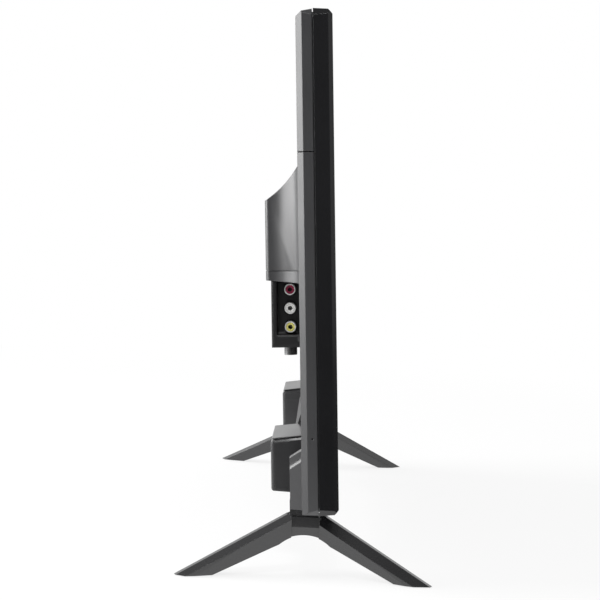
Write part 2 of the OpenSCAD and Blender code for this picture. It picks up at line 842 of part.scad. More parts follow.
// Profile of a block with drafted sides, from low to high, and filleted rear corners
module drafted_profile(deep, low, high, draft, fillet) {
    h = high - deep * tan(draft) + fillet * (tan(draft) - 1 / cos(draft));
    l = low + deep * tan(draft) - fillet * (tan(draft) - 1 / cos(draft));
    x = -deep + fillet;
    polygon([[through, low], [x - fillet * sin(draft), l - fillet * cos(draft)], [-deep, l], [-deep, h],
        [x - fillet * sin(draft), h + fillet * cos(draft)], [0, high], [through, high]]);
    translate([x, h]) circle(r = fillet + fillet_bite);
    translate([x, l]) circle(r = fillet + fillet_bite);
}

// A speaker box on one side, drawn in by a wall thickness
module speaker_form(s, wall) {
    f = max(speaker_fillet - wall, 0.4);
    r0 = speaker_box_r + wall;
    r1 = speaker_box_r + speaker_box_h - wall;
    w = speaker_box_y - wall;
    deep = speaker_box_d - wall;
    translate([0, s * speaker_y, 0]) intersection() {
        across(-w, w) drafted_profile(deep, r0, r1, speaker_draft, f);
        upward(0, panel_h) drafted_profile(deep, -w, w, 1, f);
    }
}

// What lies outside a speaker box's rim: a bevel, a groove and the cap above them
module rim_cut() {
    polygon([[0, -speaker_rim_h], [-speaker_rim_in, -rim_groove_low], [-rim_groove_in, -rim_groove_low],
        [-rim_groove_in, -rim_groove_high], [-rim_cap_in, -rim_groove_high], [-rim_cap_in, 1], [2, 1],
        [2, -speaker_rim_h]]);
}

// The rim cut round a speaker box, along the slope of its top
module speaker_rim(s) {
    deep = speaker_box_d;
    top = speaker_box_r + speaker_box_h;
    translate([0, s * speaker_y, top]) {
        for (t = [0, 1])
            mirror([0, t, 0]) translate([0, speaker_box_y, 0]) rotate([0, -speaker_draft, 0])
                forward(-2 * deep, -rim_end) rim_cut();
        translate([-deep, 0, -deep * tan(speaker_draft)])
            across(-speaker_box_w, speaker_box_w) mirror([1, 0]) rim_cut();
    }
}

// Slots for the sound in the underside of a speaker box
module sound_slots(s) {
    translate([0, s * speaker_y, 0])
        slot_row(slot_count, slot_pitch, slot_w, [-speaker_box_d + 5, -band_d - 2.4],
            [speaker_box_r - 2, speaker_plate_r - shim]);
}

// Walls round the tongue of a foot, inside the band
module foot_socket(s) {
    y = s * foot_y;
    w = tongue_w / 2 + fit;
    difference() {
        block([-band_d + cover_wall - 0.3, tongue_front + fit + 2], [y - w - 2, y + w + 2],
            [foot_notch, tongue_h + fit + 2]);
        foot_slot(s);
    }
}

// The slot that takes the tongue of a foot
module foot_slot(s) {
    y = s * foot_y;
    w = tongue_w / 2 + fit;
    block([tongue_back - fit, tongue_front + fit], [y - w, y + w], [-1, tongue_h + fit]);
}

// The cut below the band where a foot's hub stands
module foot_clearance(s) {
    y = s * foot_y;
    w = leg_w / 2 + 3;
    block([-band_d - 1, tongue_front + fit], [y - w, y + w], [-1, foot_notch]);
}

// The holes for the screws that hold a foot
module foot_screw_holes(s) {
    for (r = foot_screw_rs) {
        bar(s * foot_y, r, -band_d - 1, tongue_back, foot_screw_d / 2 + fit);
        bar(s * foot_y, r, -band_d - 1, foot_seat, foot_head_d / 2 + fit);
    }
}

// The hole for a key, widened by the running gap
module key_hole(i) {
    r = key_r + i * key_pitch;
    block([-1, cover_wall + 1], [key_y - key_w / 2 - run, key_y + key_w / 2 + run],
        [r - key_h / 2 - run, r + key_h / 2 + run]);
}

// A post of the wall mount: in a cup inside the hump, or standing on the rear plane below it
module wall_post(y, r) {
    if (r > hump_bottom) {
        bar(y, r, -hump_d + 0.2, -wall_mount_back + cover_wall, wall_recess_d / 2 + cover_wall);
        bar(y, r, -wall_mount_back, post_end, post_d / 2);
    } else {
        translate([-wall_mount_back, y, r]) rotate([0, 90, 0])
            cylinder(h = wall_mount_back + 1, r1 = post_d / 2, r2 = post_root_r);
        bar(y, r, 0, tray_back - fit, post_d / 2);
    }
}

// The way from the hump down into the connector box
module box_passage() {
    block([-box_d + box_wall + fit, cover_wall + 1], [box_y0 + box_wall, box_y1 - box_wall],
        [box_r + box_wall, hump_bottom + cover_wall + 1]);
}

// The strip on the lower cover that laps behind the upper cover along the seam
module seam_lap(high) {
    w = side_at_rear - cover_wall - 2;
    front = cover_wall + fit + lap_t;
    block([cover_wall - 0.2, front], [-w, w], [high - lap_h, high]);
    block([cover_wall + fit, front], [-w, w], [high - 1, high + lap_h]);
}

module lower_rear_cover() {
    high = seam_r - seam_gap / 2;
    color([0.25, 0.25, 0.26]) panel_frame() {
        seam_lap(high);
        lower_cover_shell(high);
    }
}

// The lower cover below the height of the seam
module lower_cover_shell(high) {
    difference() {
        union() {
            difference() {
                union() {
                    back_form(0, parting_p);
                    hump_form(0);
                    band_form(0);
                    for (s = [-1, 1]) speaker_form(s, 0);
                }
                back_form(cover_wall, parting_p + 1);
                hump_form(cover_wall);
                band_form(cover_wall);
                for (s = [-1, 1]) speaker_form(s, cover_wall);
                box_passage();
            }
            rim_tongue();
            screw_bosses(lower_screws);
            for (s = [-1, 1]) foot_socket(s);
            for (q = wall_points) wall_post(q[0], q[1]);
            for (r = key_holes) bar(key_y, r, cover_wall - 0.2, key_board_p - shim, standoff_r);
        }
        block([-hump_d - 1, panel_t], [-half_w - 1, half_w + 1], [high, panel_h + 1]);
        screw_holes(lower_screws);
        hump_groove();
        for (s = [-1, 1]) {
            sound_slots(s);
            speaker_rim(s);
            ear_scoop(s);
            foot_slot(s);
            foot_clearance(s);
            foot_screw_holes(s);
            latch_hole(s);
        }
        for (i = [0:key_count - 1]) key_hole(i);
        for (r = key_holes) bar(key_y, r, cover_wall + 2, panel_t, board_screw_r + 0.05);
        for (q = wall_points) {
            bar(q[0], q[1], -hump_d - 1, -wall_mount_back, wall_recess_d / 2);
            bar(q[0], q[1], -hump_d - 1, -wall_mount_back + insert_len + shim, insert_d / 2 + 0.05);
        }
        hump_vents();
        inlet_hole();
    }
}

// The blind hole in side s that frees a latch
module latch_hole(s) {
    low = side_at_chamfer - 0.2;
    translate([latch_p, s > 0 ? low : -half_w, latch_r]) rotate([-90, 0, 0])
        cylinder(h = half_w - low, d = latch_d);
}

// The opening for the power inlet in the hump's underside
module inlet_hole() {
    block([-inlet_back - 7, -inlet_back + 7],
        [inlet_y - inlet_w / 2 - fit, inlet_y + inlet_w / 2 + fit],
        [hump_bottom - underside_rise - 1, hump_bottom + cover_wall + 2]);
}

module wall_mount_inserts() {
    color([0.78, 0.62, 0.3]) panel_frame()
        for (q = wall_points) difference() {
            bar(q[0], q[1], -wall_mount_back, -wall_mount_back + insert_len, insert_d / 2);
            bar(q[0], q[1], -wall_mount_back - 1, -wall_mount_back + thread_deep, wall_thread_d / 2);
        }
}

// A pan head screw from the rear, with its head seated at depth p
module pan_screw(y, r, p, d, head_d, head_h, length) {
    bar(y, r, p - head_h, p, head_d / 2);
    bar(y, r, p - 0.1, p + length, d / 2);
}

module cover_screws() {
    color([0.15, 0.15, 0.16]) panel_frame()
        for (q = concat(upper_screws, lower_screws))
            pan_screw(q[0], q[1], head_seat, screw_d, screw_head_d, screw_head_h, screw_len);
}

module board_screws() {
    color([0.8, 0.8, 0.8]) panel_frame() {
        for (q = concat(main_holes, power_holes))
            pan_screw(q[0], q[1], board_rear, 2 * board_screw_r, 2 * board_head_r, board_head_h,
                board_screw_len);
        for (r = key_holes)
            translate([2 * key_board_p + 2 * key_board_t, 0, 0]) mirror([1, 0, 0])
                pan_screw(key_y, r, key_board_p + key_board_t, 2 * board_screw_r, 2 * board_head_r,
                    board_head_h, key_screw_len);
    }
}

module foot_screws() {
    color([0.15, 0.15, 0.16]) panel_frame()
        for (s = [-1, 1])
            for (r = foot_screw_rs)
                pan_screw(s * foot_y, r, foot_seat, foot_screw_d, foot_head_d, foot_head_h, foot_screw_len);
}

// The black box with the jack bay; its walls stand on the rear plane of the cover
module connector_bracket() {
    bay_p0 = -box_d + bay_frame;
    bay_p1 = -box_wall - fit;
    inner_y = [box_y0 + box_wall, box_y1 - box_wall];
    color([0.06, 0.06, 0.065]) panel_frame() difference() {
        intersection() {
            block([-box_d, -fit], [box_y0, box_y1], [box_r, hump_bottom]);
            across(-half_w, half_w)
                polygon([[0, box_r], [-box_d, box_r], [-box_d, underside(-box_d) - fit],
                    [0, underside(0) - fit]]);
        }
        difference() {
            block([-box_d + box_wall, 1], inner_y, [box_r + box_wall, hump_bottom + 1]);
            block([-box_d, 1], [box_y0, bay_back_y + box_wall], [box_r, hump_bottom + 1]);
        }
        block([bay_p0, bay_p1], [box_y0 - 1, bay_back_y], [bay_r0, hump_bottom + 1]);
        for (i = [0:2])
            translate([-jack_back, bay_back_y - 1, box_r + jack_up + i * jack_pitch])
                rotate([-90, 0, 0]) cylinder(h = box_wall + 2, d = jack_d + 2 * fit);
        block([-box_d + box_wall, 1], [bay_back_y + box_wall - 0.1, inner_y[1]],
            [box_r + box_wall, hump_bottom + 1]);
        block([-box_d + box_wall, 1], [box_y0 + box_wall, bay_back_y + box_wall],
            [box_r + box_wall, bay_r0 - box_wall]);
        down_hole(antenna_y, antenna_d + 2 * fit);
        down_hole(headphone_y, 7 + 2 * fit);
        block([-jack_back - 3, -jack_back + 3],
            [hdmi_y - hdmi_w / 2 - fit, hdmi_y + hdmi_w / 2 + fit], [box_r - 1, box_r + box_wall + 1]);
        block([-jack_back - 3.4, -jack_back + 3.4],
            [usb_y - usb_w / 2 - fit, usb_y + usb_w / 2 + fit], [box_r - 1, box_r + box_wall + 1]);
    }
}

// A round hole through the underside of the connector box
module down_hole(y, d) {
    translate([-jack_back, y, box_r - 1]) cylinder(h = box_wall + 2, d = d);
}

// Places the children at a jack, with +Z out of its mouth
module at_jack(i) {
    translate([-jack_back, bay_back_y + box_wall, box_r + jack_up + i * jack_pitch])
        rotate([90, 0, 0]) children();
}

module rca_shells() {
    out = jack_len + box_wall;
    color([0.8, 0.8, 0.8]) panel_frame() for (i = [0:2]) at_jack(i) difference() {
        union() {
            cylinder(h = out, d = jack_d);
            translate([0, 0, -1]) cylinder(h = 1, d = jack_d + 3);
        }
        translate([0, 0, -2]) cylinder(h = out + 3, d = jack_d - 1.6);
    }
}

// The coloured core of a jack, with a bore for the plug's pin
module rca_core(i) {
    out = jack_len + box_wall;
    w = jack_d / 2 + 0.5;
    panel_frame() at_jack(i) difference() {
        union() {
            translate([0, 0, -2]) cylinder(h = out + 1.6, d = jack_d - 1.6 - shim);
            translate([-w, -w, -8]) cube([w + jack_back + board_rear - shim, 2 * w, 7 - shim]);
        }
        translate([0, 0, box_wall + shim]) cylinder(h = out, d = jack_bore);
    }
}

module rca_insert_red() {
    color([0.6, 0.03, 0.1]) rca_core(2);
}

module rca_insert_white() {
    color([0.92, 0.92, 0.9]) rca_core(1);
}

module rca_insert_yellow() {
    color([0.86, 0.8, 0.25]) rca_core(0);
}

module antenna_connector() {
    color([0.75, 0.75, 0.74]) panel_frame() translate([-jack_back, antenna_y, box_r]) difference() {
        union() {
            translate([0, 0, -antenna_len]) cylinder(h = antenna_len + box_wall + 3, d = antenna_d);
            translate([-5.5, -5.5, box_wall + fit]) cube([11, 11, bay_sill - 2 * box_wall - 2 * fit]);
        }
        translate([0, 0, -antenna_len - 1]) cylinder(h = 2, d = antenna_d - 2.4);
        translate([0, 0, -antenna_len - 1]) cylinder(h = antenna_len + 1, d = antenna_pin_d);
    }
}

// A rectangular socket that faces down, with a contact tongue inside
module down_socket(y, w, h, tongue_off) {
    wall = 0.5;
    r0 = box_r + 0.6;
    r1 = box_r + bay_sill;
    difference() {
        block([-jack_back - h / 2, board_rear - shim], [y - w / 2, y + w / 2], [r0, r1]);
        block([-jack_back - h / 2 + wall, -jack_back + h / 2 - wall],
            [y - w / 2 + wall, y + w / 2 - wall], [r0 - 1, r1 - 3]);
        block([-jack_back + h / 2, 0], [y - w, y + w], [r0 - 1, box_r + box_wall + fit]);
    }
    block([-jack_back + tongue_off - 0.6, -jack_back + tongue_off + 0.6], [y - w / 2 + 2, y + w / 2 - 2],
        [r0 + 1.5, r1 - 2]);
}

module hdmi_socket() {
    color([0.7, 0.7, 0.7]) panel_frame() down_socket(hdmi_y, hdmi_w, 5.6, 0);
}

module usb_socket() {
    color([0.7, 0.7, 0.7]) panel_frame() down_socket(usb_y, usb_w, 6.4, 1);
}

module headphone_jack() {
    color([0.05, 0.05, 0.05]) panel_frame() translate([-jack_back, headphone_y, box_r]) difference() {
        union() {
            cylinder(h = box_wall + 2, d = 7);
            translate([-3.5, -3.5, box_wall + fit]) cube([3.5 + jack_back + board_rear - shim, 7, 13]);
        }
        translate([0, 0, -1]) cylinder(h = 14, d = headphone_d);
    }
}

module main_board() {
    color([0.08, 0.32, 0.16]) panel_frame() difference() {
        forward(board_rear, board_front)
            polygon([[board_y0, board_r0], [board_step_y, board_r0], [board_step_y, board_step_r],
                [board_y1, board_step_r], [board_y1, board_r1], [board_y0, board_r1]]);
        for (q = main_holes) bar(q[0], q[1], board_rear - 1, board_front + 1, board_screw_r + fit);
    }
}

module main_chips() {
    color([0.07, 0.07, 0.08]) panel_frame() {
        block([board_rear - chip_t, board_rear], [chip_y - 10, chip_y + 10], [chip_r - 10, chip_r + 10]);
        for (i = [0, 1])
            block([board_rear - 1, board_rear], [chip_y + 18, chip_y + 32],
                [chip_r - 9 + i * 11, chip_r - 1 + i * 11]);
    }
}

module heat_sink() {
    base = board_rear - chip_t;
    w = 15;
    color([0.75, 0.76, 0.78]) panel_frame() union() {
        block([base - 2, base], [chip_y - w, chip_y + w], [chip_r - w, chip_r + w]);
        for (i = [0:6]) {
            y = chip_y - w + 0.8 + i * (2 * w - 1.6) / 6;
            block([base - sink_h, base - 1], [y - 0.8, y + 0.8], [chip_r - w, chip_r + w]);
        }
    }
}

module power_board() {
    color([0.72, 0.6, 0.36]) panel_frame() difference() {
        block([board_rear, board_front], [power_y0, power_y1], [board_step_r, board_r1]);
        for (q = power_holes) bar(q[0], q[1], board_rear - 1, board_front + 1, board_screw_r + fit);
    }
}

module power_transformer() {
    y = power_y0 + 52;
    r = board_r1 - 17;
    color([0.85, 0.72, 0.2]) panel_frame() union() {
        block([board_rear - 17, board_rear], [y - 12, y + 12], [r - 6, r + 6]);
        block([board_rear - 15, board_rear - 2], [y - 9, y + 9], [r - 10, r + 10]);
    }
}

bulk_r = 8;
bulk_len = 19;
filter_r = 4;
filter_len = 13;
capacitor_in = 14;

module power_capacitors() {
    r = board_r1 - capacitor_in;
    color([0.15, 0.2, 0.4]) panel_frame() {
        bar(power_y1 - bulk_r - 4, r, board_rear - bulk_len, board_rear, bulk_r);
        for (i = [0, 1])
            bar(power_y0 + filter_r + 5, r - i * (2 * filter_r + 4), board_rear - filter_len, board_rear,
                filter_r);
    }
}

// Figure-eight outline of the power inlet's recess
module figure_eight(d, gap) {
    for (s = [-1, 1]) translate([0, s * gap / 2]) circle(d = d);
    square([d * 0.7, gap], center = true);
}

module power_inlet() {
    deep = 12;
    to_board = 7 - fit + inlet_back + board_rear - shim;
    pin = 2.4;
    gap = 8.6;
    color([0.08, 0.08, 0.08]) panel_frame() translate([-inlet_back, inlet_y, inlet_mouth]) {
        difference() {
            union() {
                translate([-7 + fit, -inlet_w / 2, 0]) cube([14 - 2 * fit, inlet_w, 5]);
                translate([-7 + fit, -inlet_w / 2, 4]) cube([to_board, inlet_w, 14]);
            }
            translate([0, 0, -1]) linear_extrude(deep + 1) figure_eight(8.8, gap);
        }
        for (s = [-1, 1]) translate([0, s * gap / 2, 2]) cylinder(h = deep - 1, d = pin);
    }
}

driver_r0 = bezel_bottom + 4;
driver_h = 18;
driver_rear = tray_back - 2.2;
driver_y = -110;
driver_w = 150;
driver_post_in = 10;

module driver_board() {
    color([0.08, 0.32, 0.16]) panel_frame() union() {
        block([driver_rear, driver_rear + 1.2], [driver_y, driver_y + driver_w],
            [driver_r0, driver_r0 + driver_h]);
        for (y = [driver_post_in, driver_w / 2, driver_w - driver_post_in])
            bar(driver_y + y, driver_r0 + driver_h / 2, driver_rear + 1, tray_back - shim, 2);
    }
}

ribbon_t = 0.4;
ribbon_w = 14;
ribbon_rise = 26;
ribbon_r1 = board_r0 + ribbon_rise;

module panel_ribbon() {
    y0 = board_y0 + 11;
    p = driver_rear - shim;
    color([0.88, 0.88, 0.84]) panel_frame()
        across(y0, y0 + ribbon_w)
            polygon([[p, driver_r0 + 8], [p, ribbon_r1], [board_front + shim, ribbon_r1],
                [board_front + shim, ribbon_r1 - ribbon_t], [p - ribbon_t, ribbon_r1 - ribbon_t],
                [p - ribbon_t, driver_r0 + 8]]);
}

// The oblong front plate of a speaker, as seen along the axis of its cone
module speaker_outline() {
    w = speaker_plate_w - speaker_plate_d;
    square([speaker_plate_d, w], center = true);
    for (s = [-1, 1]) translate([0, s * w / 2]) circle(d = speaker_plate_d);
}

// Places the children at a speaker, with +Z away from the listener, into the set
module at_speaker(s) {
    panel_frame() translate([speaker_p, s * speaker_y, speaker_plate_r]) children();
}

module speaker_frame(s) {
    rim = cone_r + run;
    color([0.2, 0.2, 0.21]) at_speaker(s) difference() {
        union() {
            linear_extrude(speaker_plate_t) speaker_outline();
            cylinder(h = basket_h, r = rim + 1);
        }
        translate([0, 0, -1]) cylinder(h = basket_h - 1.2 + 1, r = rim);
        translate([0, 0, basket_h - 2]) cylinder(h = 4, r = 5);
        for (a = [0, 90]) rotate(a)
            translate([-rim - 3, -rim / 2, speaker_plate_t + 1.2])
                cube([2 * rim + 6, rim, basket_h - speaker_plate_t - 2.4 - 1.2]);
    }
}

module speaker_cone(s) {
    depth = 3.4;
    lift = cone_stroke + 0.3;
    color([0.05, 0.05, 0.05]) at_speaker(s) translate([0, 0, lift]) rotate_extrude()
        polygon([[0, 1.2], [3.4, 1.2], [cone_r - 2.5, 0], [cone_r, 0], [cone_r, 0.6], [cone_r - 2.3, 0.7],
            [4.2, 2.2], [4.2, depth + 1.4], [3.6, depth + 1.4], [3.6, 2.1], [0, 2]]);
}

module speaker_magnet(s) {
    color([0.35, 0.35, 0.36]) at_speaker(s) difference() {
        translate([0, 0, basket_h + shim]) cylinder(h = magnet_h, r = magnet_r);
        translate([0, 0, basket_h - 1]) cylinder(h = 4, r = 5);
    }
}

module speaker_left_frame() {
    speaker_frame(-1);
}

module speaker_left_cone() {
    speaker_cone(-1);
}

module speaker_left_magnet() {
    speaker_magnet(-1);
}

module speaker_right_frame() {
    speaker_frame(1);
}

module speaker_right_cone() {
    speaker_cone(1);
}

module speaker_right_magnet() {
    speaker_magnet(1);
}

module key_board() {
    color([0.08, 0.32, 0.16]) panel_frame() difference() {
        block([key_board_p, key_board_p + key_board_t], [key_y - key_board_w / 2, key_y + key_board_w / 2],
            [key_holes[0] - 5, key_holes[1] + 5]);
        for (r = key_holes) bar(key_y, r, key_board_p - 1, key_board_p + 3, board_screw_r + fit);
    }
}

module key_switches() {
    color([0.12, 0.12, 0.13]) panel_frame()
        for (i = [0:key_count - 1]) {
            r = key_r + i * key_pitch;
            block([key_board_p - switch_t + 1, key_board_p], [key_y - 3, key_y + 3], [r - 3, r + 3]);
            bar(key_y, r, switch_tip, key_board_p - 1, 1.7);
        }
}

// One key: a dished cap, a flange behind the cover and a post towards its switch
module key_body(i) {
    r = key_r + i * key_pitch;
    y = [key_y - key_w / 2, key_y + key_w / 2];
    h = [r - key_h / 2, r + key_h / 2];
    back = cover_wall + run;
    dish = 40;
    color([0.3, 0.3, 0.31]) panel_frame() difference() {
        union() {
            block([-key_proud, back + 0.1], y, h);
            block([back, back + key_flange_t], [y[0] - key_flange, y[1] + key_flange],
                [h[0] - key_flange, h[1] + key_flange]);
            bar(key_y, r, back, key_post_tip, 2);
        }
        translate([-key_proud - dish + 0.4, key_y, r]) rotate([90, 0, 0])
            cylinder(h = key_w + 2, r = dish, center = true, $fn = 96);
    }
}

module key_power() {
    key_body(6);
}

module key_input() {
    key_body(5);
}

module key_menu() {
    key_body(4);
}

module key_channel_up() {
    key_body(3);
}

module key_channel_down() {
    key_body(2);
}

module key_volume_up() {
    key_body(1);
}

module key_volume_down() {
    key_body(0);
}

// Side profile of a leg that points along +X, below its sloping top
module leg_profile() {
    polygon([[0, leg_under_z + 2], [leg_under_x, leg_under_z], [heel_long, 0], [leg_long + 2, 0],
        [leg_long + 2, leg_top_z], [0, leg_top_z]]);
}

// Cross-section of a leg, below its top, widest at its crease
module leg_section(crease) {
    w = leg_w / 2;
    ridge = leg_ridge_w / 2;
    keel = leg_keel_w / 2;
    deep = 3 * keel_deep;
    polygon([[-ridge, 0], [ridge, 0], [w, -crease], [keel, -keel_deep], [keel, -deep],
        [-keel, -deep], [-keel, -keel_deep], [-w, -crease]]);
}

// Plan of a leg, narrowing to a round tip
module leg_plan() {
    w = leg_w / 2 + 1;
    t = leg_tip_w / 2;
    polygon([[-1, -w], [hub_half, -w], [leg_long - t, -t], [leg_long - t, t], [hub_half, w], [-1, w]]);
    translate([leg_long - t, 0]) circle(r = t);
}

// Plan of a sole under a leg, widened by a gap
module pad_plan(gap) {
    t = pad_w / 2;
    translate([pad_x0 + t, -t - gap]) square([pad_x1 - pad_x0 - 2 * t, 2 * t + 2 * gap]);
    for (x = [pad_x0 + t, pad_x1 - t]) translate([x, 0]) circle(r = t + gap);
}

// One leg along +X, with its crease below its top and a pocket for its sole
module leg(crease) {
    long = leg_long * 1.4;
    difference() {
        intersection() {
            rotate([90, 0, 0]) linear_extrude(leg_w + 10, center = true) leg_profile();
            translate([leg_top_x, 0, leg_top_z]) rotate([0, leg_slope, 0])
                translate([-long / 2, 0, 0]) rotate([90, 0, 90]) linear_extrude(1.5 * long)
                    leg_section(crease);
            linear_extrude(panel_z + 10) leg_plan();
            translate([0, -leg_w, pad_proud]) cube([long, 2 * leg_w, panel_z]);
        }
        linear_extrude(pad_t) pad_plan(fit);
    }
}

// Places the children at the front leg of the foot on side s
module front_leg(s) {
    translate([0, s * foot_y, 0]) rotate(s * foot_splay) children();
}

// Places the children at the rear leg of the foot on side s
module rear_leg(s) {
    translate([0, s * foot_y, 0]) mirror([1, 0, 0]) rotate(s * foot_splay) children();
}

// The hub between the legs, with the crease of the legs carried across it
module hub(s) {
    w = leg_w / 2 + 1;
    keel = leg_keel_w / 2;
    top = leg_top_z - 1;
    crease = panel_z - hub_crease;
    translate([0, s * foot_y, 0]) forward(-hub_half, hub_half)
        polygon([[-w, top], [w, top], [w, crease], [keel, leg_under_z], [-keel, leg_under_z],
            [-w, crease]]);
}

// A foot: two legs, an arched hub, a neck under the panel and a tongue that stands in the band
module foot(s) {
    w = tongue_w / 2 - 0.6;
    y = s * foot_y;
    neck_top = bottom_at_seam - fit;
    color([0.05, 0.05, 0.055]) difference() {
        union() {
            difference() {
                union() {
                    front_leg(s) leg(front_crease);
                    rear_leg(s) leg(rear_crease);
                }
                translate([-hub_half + 1, y - 2 * leg_w, 0]) cube([2 * hub_half - 2, 4 * leg_w, panel_z]);
            }
            hub(s);
            panel_frame() {
                block([tongue_back, parting_p - fit], [y - w, y + w], [-neck_low, neck_top]);
                block([-band_d - neck_proud, tongue_front], [y - w, y + w], [-neck_low, foot_notch - 1.4]);
                block([tongue_back, tongue_front], [y - tongue_w / 2, y + tongue_w / 2],
                    [-neck_low + 1, tongue_h]);
            }
        }
        translate([0, y, arch_z - arch_r]) rotate([90, 0, 0])
            cylinder(h = 4 * leg_w, r = arch_r, center = true, $fn = 96);
        panel_frame() for (r = foot_screw_rs)
            bar(y, r, tongue_back - 1, tongue_front + 1, foot_screw_d / 2 + 0.05);
    }
}

module foot_left() {
    foot(-1);
}

module foot_right() {
    foot(1);
}

module foot_pads() {
    color([0.02, 0.02, 0.02])
        for (s = [-1, 1]) {
            front_leg(s) linear_extrude(pad_t) pad_plan(0);
            rear_leg(s) linear_extrude(pad_t) pad_plan(0);
        }
}

front_bezel();
lcd_cell();
cell_frame();
optical_films();
light_guide();
reflector_sheet();
led_bar();
led_chips();
backlight_tray();
upper_rear_cover();
lower_rear_cover();
connector_bracket();
rca_shells();
rca_insert_red();
rca_insert_white();
rca_insert_yellow();
antenna_connector();
hdmi_socket();
usb_socket();
headphone_jack();
power_inlet();
main_board();
main_chips();
heat_sink();
power_board();
power_transformer();
power_capacitors();
driver_board();
panel_ribbon();
speaker_left_frame();
speaker_left_cone();
speaker_left_magnet();
speaker_right_frame();
speaker_right_cone();
speaker_right_magnet();
sensor_board();
sensor_window();
key_board();
key_switches();
key_power();
key_input();
key_menu();
key_channel_up();
key_channel_down();
key_volume_up();
key_volume_down();
foot_left();
foot_right();
foot_pads();
foot_screws();
wall_mount_inserts();
cover_screws();
board_screws();
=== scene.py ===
"""Looks of a flat screen television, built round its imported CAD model.

Lengths that describe the set are in millimetres, in the frame of the leaning panel:
p is the depth from the rear plane towards the screen, y runs across, and r is the height
above the panel's bottom edge. Everything that Blender gets is in metres.
"""
import json
import math

import bmesh
import bpy
from mathutils import Matrix, Vector


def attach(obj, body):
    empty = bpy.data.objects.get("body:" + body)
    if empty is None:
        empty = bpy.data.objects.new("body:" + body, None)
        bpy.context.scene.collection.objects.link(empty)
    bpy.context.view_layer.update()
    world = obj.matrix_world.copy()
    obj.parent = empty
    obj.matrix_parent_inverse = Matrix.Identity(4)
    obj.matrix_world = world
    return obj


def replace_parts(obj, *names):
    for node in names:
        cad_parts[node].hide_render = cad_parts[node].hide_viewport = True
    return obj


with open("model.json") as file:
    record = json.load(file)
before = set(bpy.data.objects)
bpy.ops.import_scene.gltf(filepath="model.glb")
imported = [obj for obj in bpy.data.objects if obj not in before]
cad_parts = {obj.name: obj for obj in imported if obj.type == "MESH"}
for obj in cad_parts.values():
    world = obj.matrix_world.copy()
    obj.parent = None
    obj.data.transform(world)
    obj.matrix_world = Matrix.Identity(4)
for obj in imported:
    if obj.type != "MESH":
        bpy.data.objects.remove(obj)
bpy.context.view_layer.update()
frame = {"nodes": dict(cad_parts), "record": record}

# The panel: how far it leans back, and where its lower rear edge is
LEAN = math.radians(3.5)
PANEL_BACK = 2.4
PANEL_HEIGHT = 43.9
PANEL = Matrix.Translation((-PANEL_BACK / 1000, 0, PANEL_HEIGHT / 1000)) @ Matrix.Rotation(-LEAN, 4, "Y")

# Fasteners: places across and up, seat of the head, then head and shaft sizes
COVER_SCREWS = [(238.5, 305), (82, 305), (238.5, 255), (238.5, 219), (218.5, 56.5), (92, 70)]
COVER_SEAT = 3.0
COVER_SCREW = {"head_r": 2.9, "head_h": 2.0, "shaft_r": 1.5, "length": 11.1}
FOOT_Y = 235.3
FOOT_SCREWS = [(FOOT_Y, 11), (FOOT_Y, 20.4)]
FOOT_SEAT = -5.6
FOOT_SCREW = {"head_r": 3.7, "head_h": 2.2, "shaft_r": 2.0, "length": 7.0}

# Dome of a screw's head, as shares of its radius and height; then its cross recess: reach and half width of
# an arm as shares of the radius, depth as a share of the height, and its floor as a share of its mouth
SCREW_DOME = [(1, 0), (1, 0.35), (0.93, 0.7), (0.78, 0.92), (0.6, 1)]
CROSS_ARM = 0.48
CROSS_HALF = 0.1
CROSS_DEEP = 0.55
CROSS_TAPER = 0.6

# Antenna stub: its middle, its lower and upper end and its radius
ANTENNA = (-9.8, -96.5)
ANTENNA_ENDS = (91.2, 96.7)
ANTENNA_RADIUS = 4.72

# Its thread: pitch, height, half its width, how far it sinks in, and its steps a turn
THREAD_PITCH = 0.794
THREAD_HEIGHT = 0.24
THREAD_HALF = 0.42 * THREAD_PITCH
THREAD_SUNK = 0.05
THREAD_STEPS = 28

# The insulator in its open end: how deep it lies, and its profile as radius and height
CORE_DEEP = 0.55
CORE_PROFILE = [(3.5, 0.4), (3.5, 0.1), (2.4, 0.0), (0.85, 0.0), (0.55, 0.25), (0.55, 0.4)]

# Keys: the middle of their column, the lowest one and their pitch, then the back and the face of a sign
KEY_Y = 248.0
KEY_LOW = 72.0
KEY_PITCH = 13.0
SIGN_BACK = -0.48
SIGN_FACE = -0.6

# Data sockets: middle and width of each contact tongue, its rear face and how many contacts it has; then
# the height of the contacts' middle, their length, their share of the pitch, how far they sink in and
# stand out, and their bevel
SOCKET_TONGUES = [(-81.0, 10.6, -10.4, 10), (-65.0, 9.0, -9.4, 4)]
CONTACT_HEIGHT = 100.7
CONTACT_LENGTH = 3.0
CONTACT_SHARE = 0.5
CONTACT_SUNK = 0.02
CONTACT_PROUD = 0.06
CONTACT_BEVEL = 0.02

# Jacks: their depth, the heights of the three, the mouth of their bores, and radius and depth of the spring
# contact down a bore, black as painted shade of the deep hole
JACK_P = -9.8
JACK_HEIGHTS = (111.9, 125.9, 139.9)
JACK_MOUTH = -100.5
JACK_BORE_SHADE = [(1.62, 0.5), (1.5, 0.4), (1.3, 0.9), (1.3, 6.0), (1.62, 6.2)]

# Snap tab of the connector box: its middle, its width and height, how far it sinks in and stands out, the
# share of its standing out where its bevel starts, and the shares of width and height at its tip
BRACKET_CLIP = (-3.3, -105.5, 103.1)
CLIP_SIZE = (1.9, 3.4)
CLIP_SUNK = 0.3
CLIP_OUT = 0.8
CLIP_RIM = 0.6
CLIP_TIP = (0.6, 0.8)

# Where the cover's finish changes, in metres, each from its start to its end: the speaker boxes, whose
# rounded edges and painted edge highlight are wider, lie behind and below the first two; the slope between
# them lies within the third on both sides, above the fourth and below the fifth
BOXES_BEHIND = (-0.012, -0.017)
BOXES_BELOW = (0.17, 0.15)
SLOPE_SIDE = (0.1257, 0.1262)
SLOPE_LOW = (0.0755, 0.0763)
SLOPE_TOP = (0.102, 0.103)
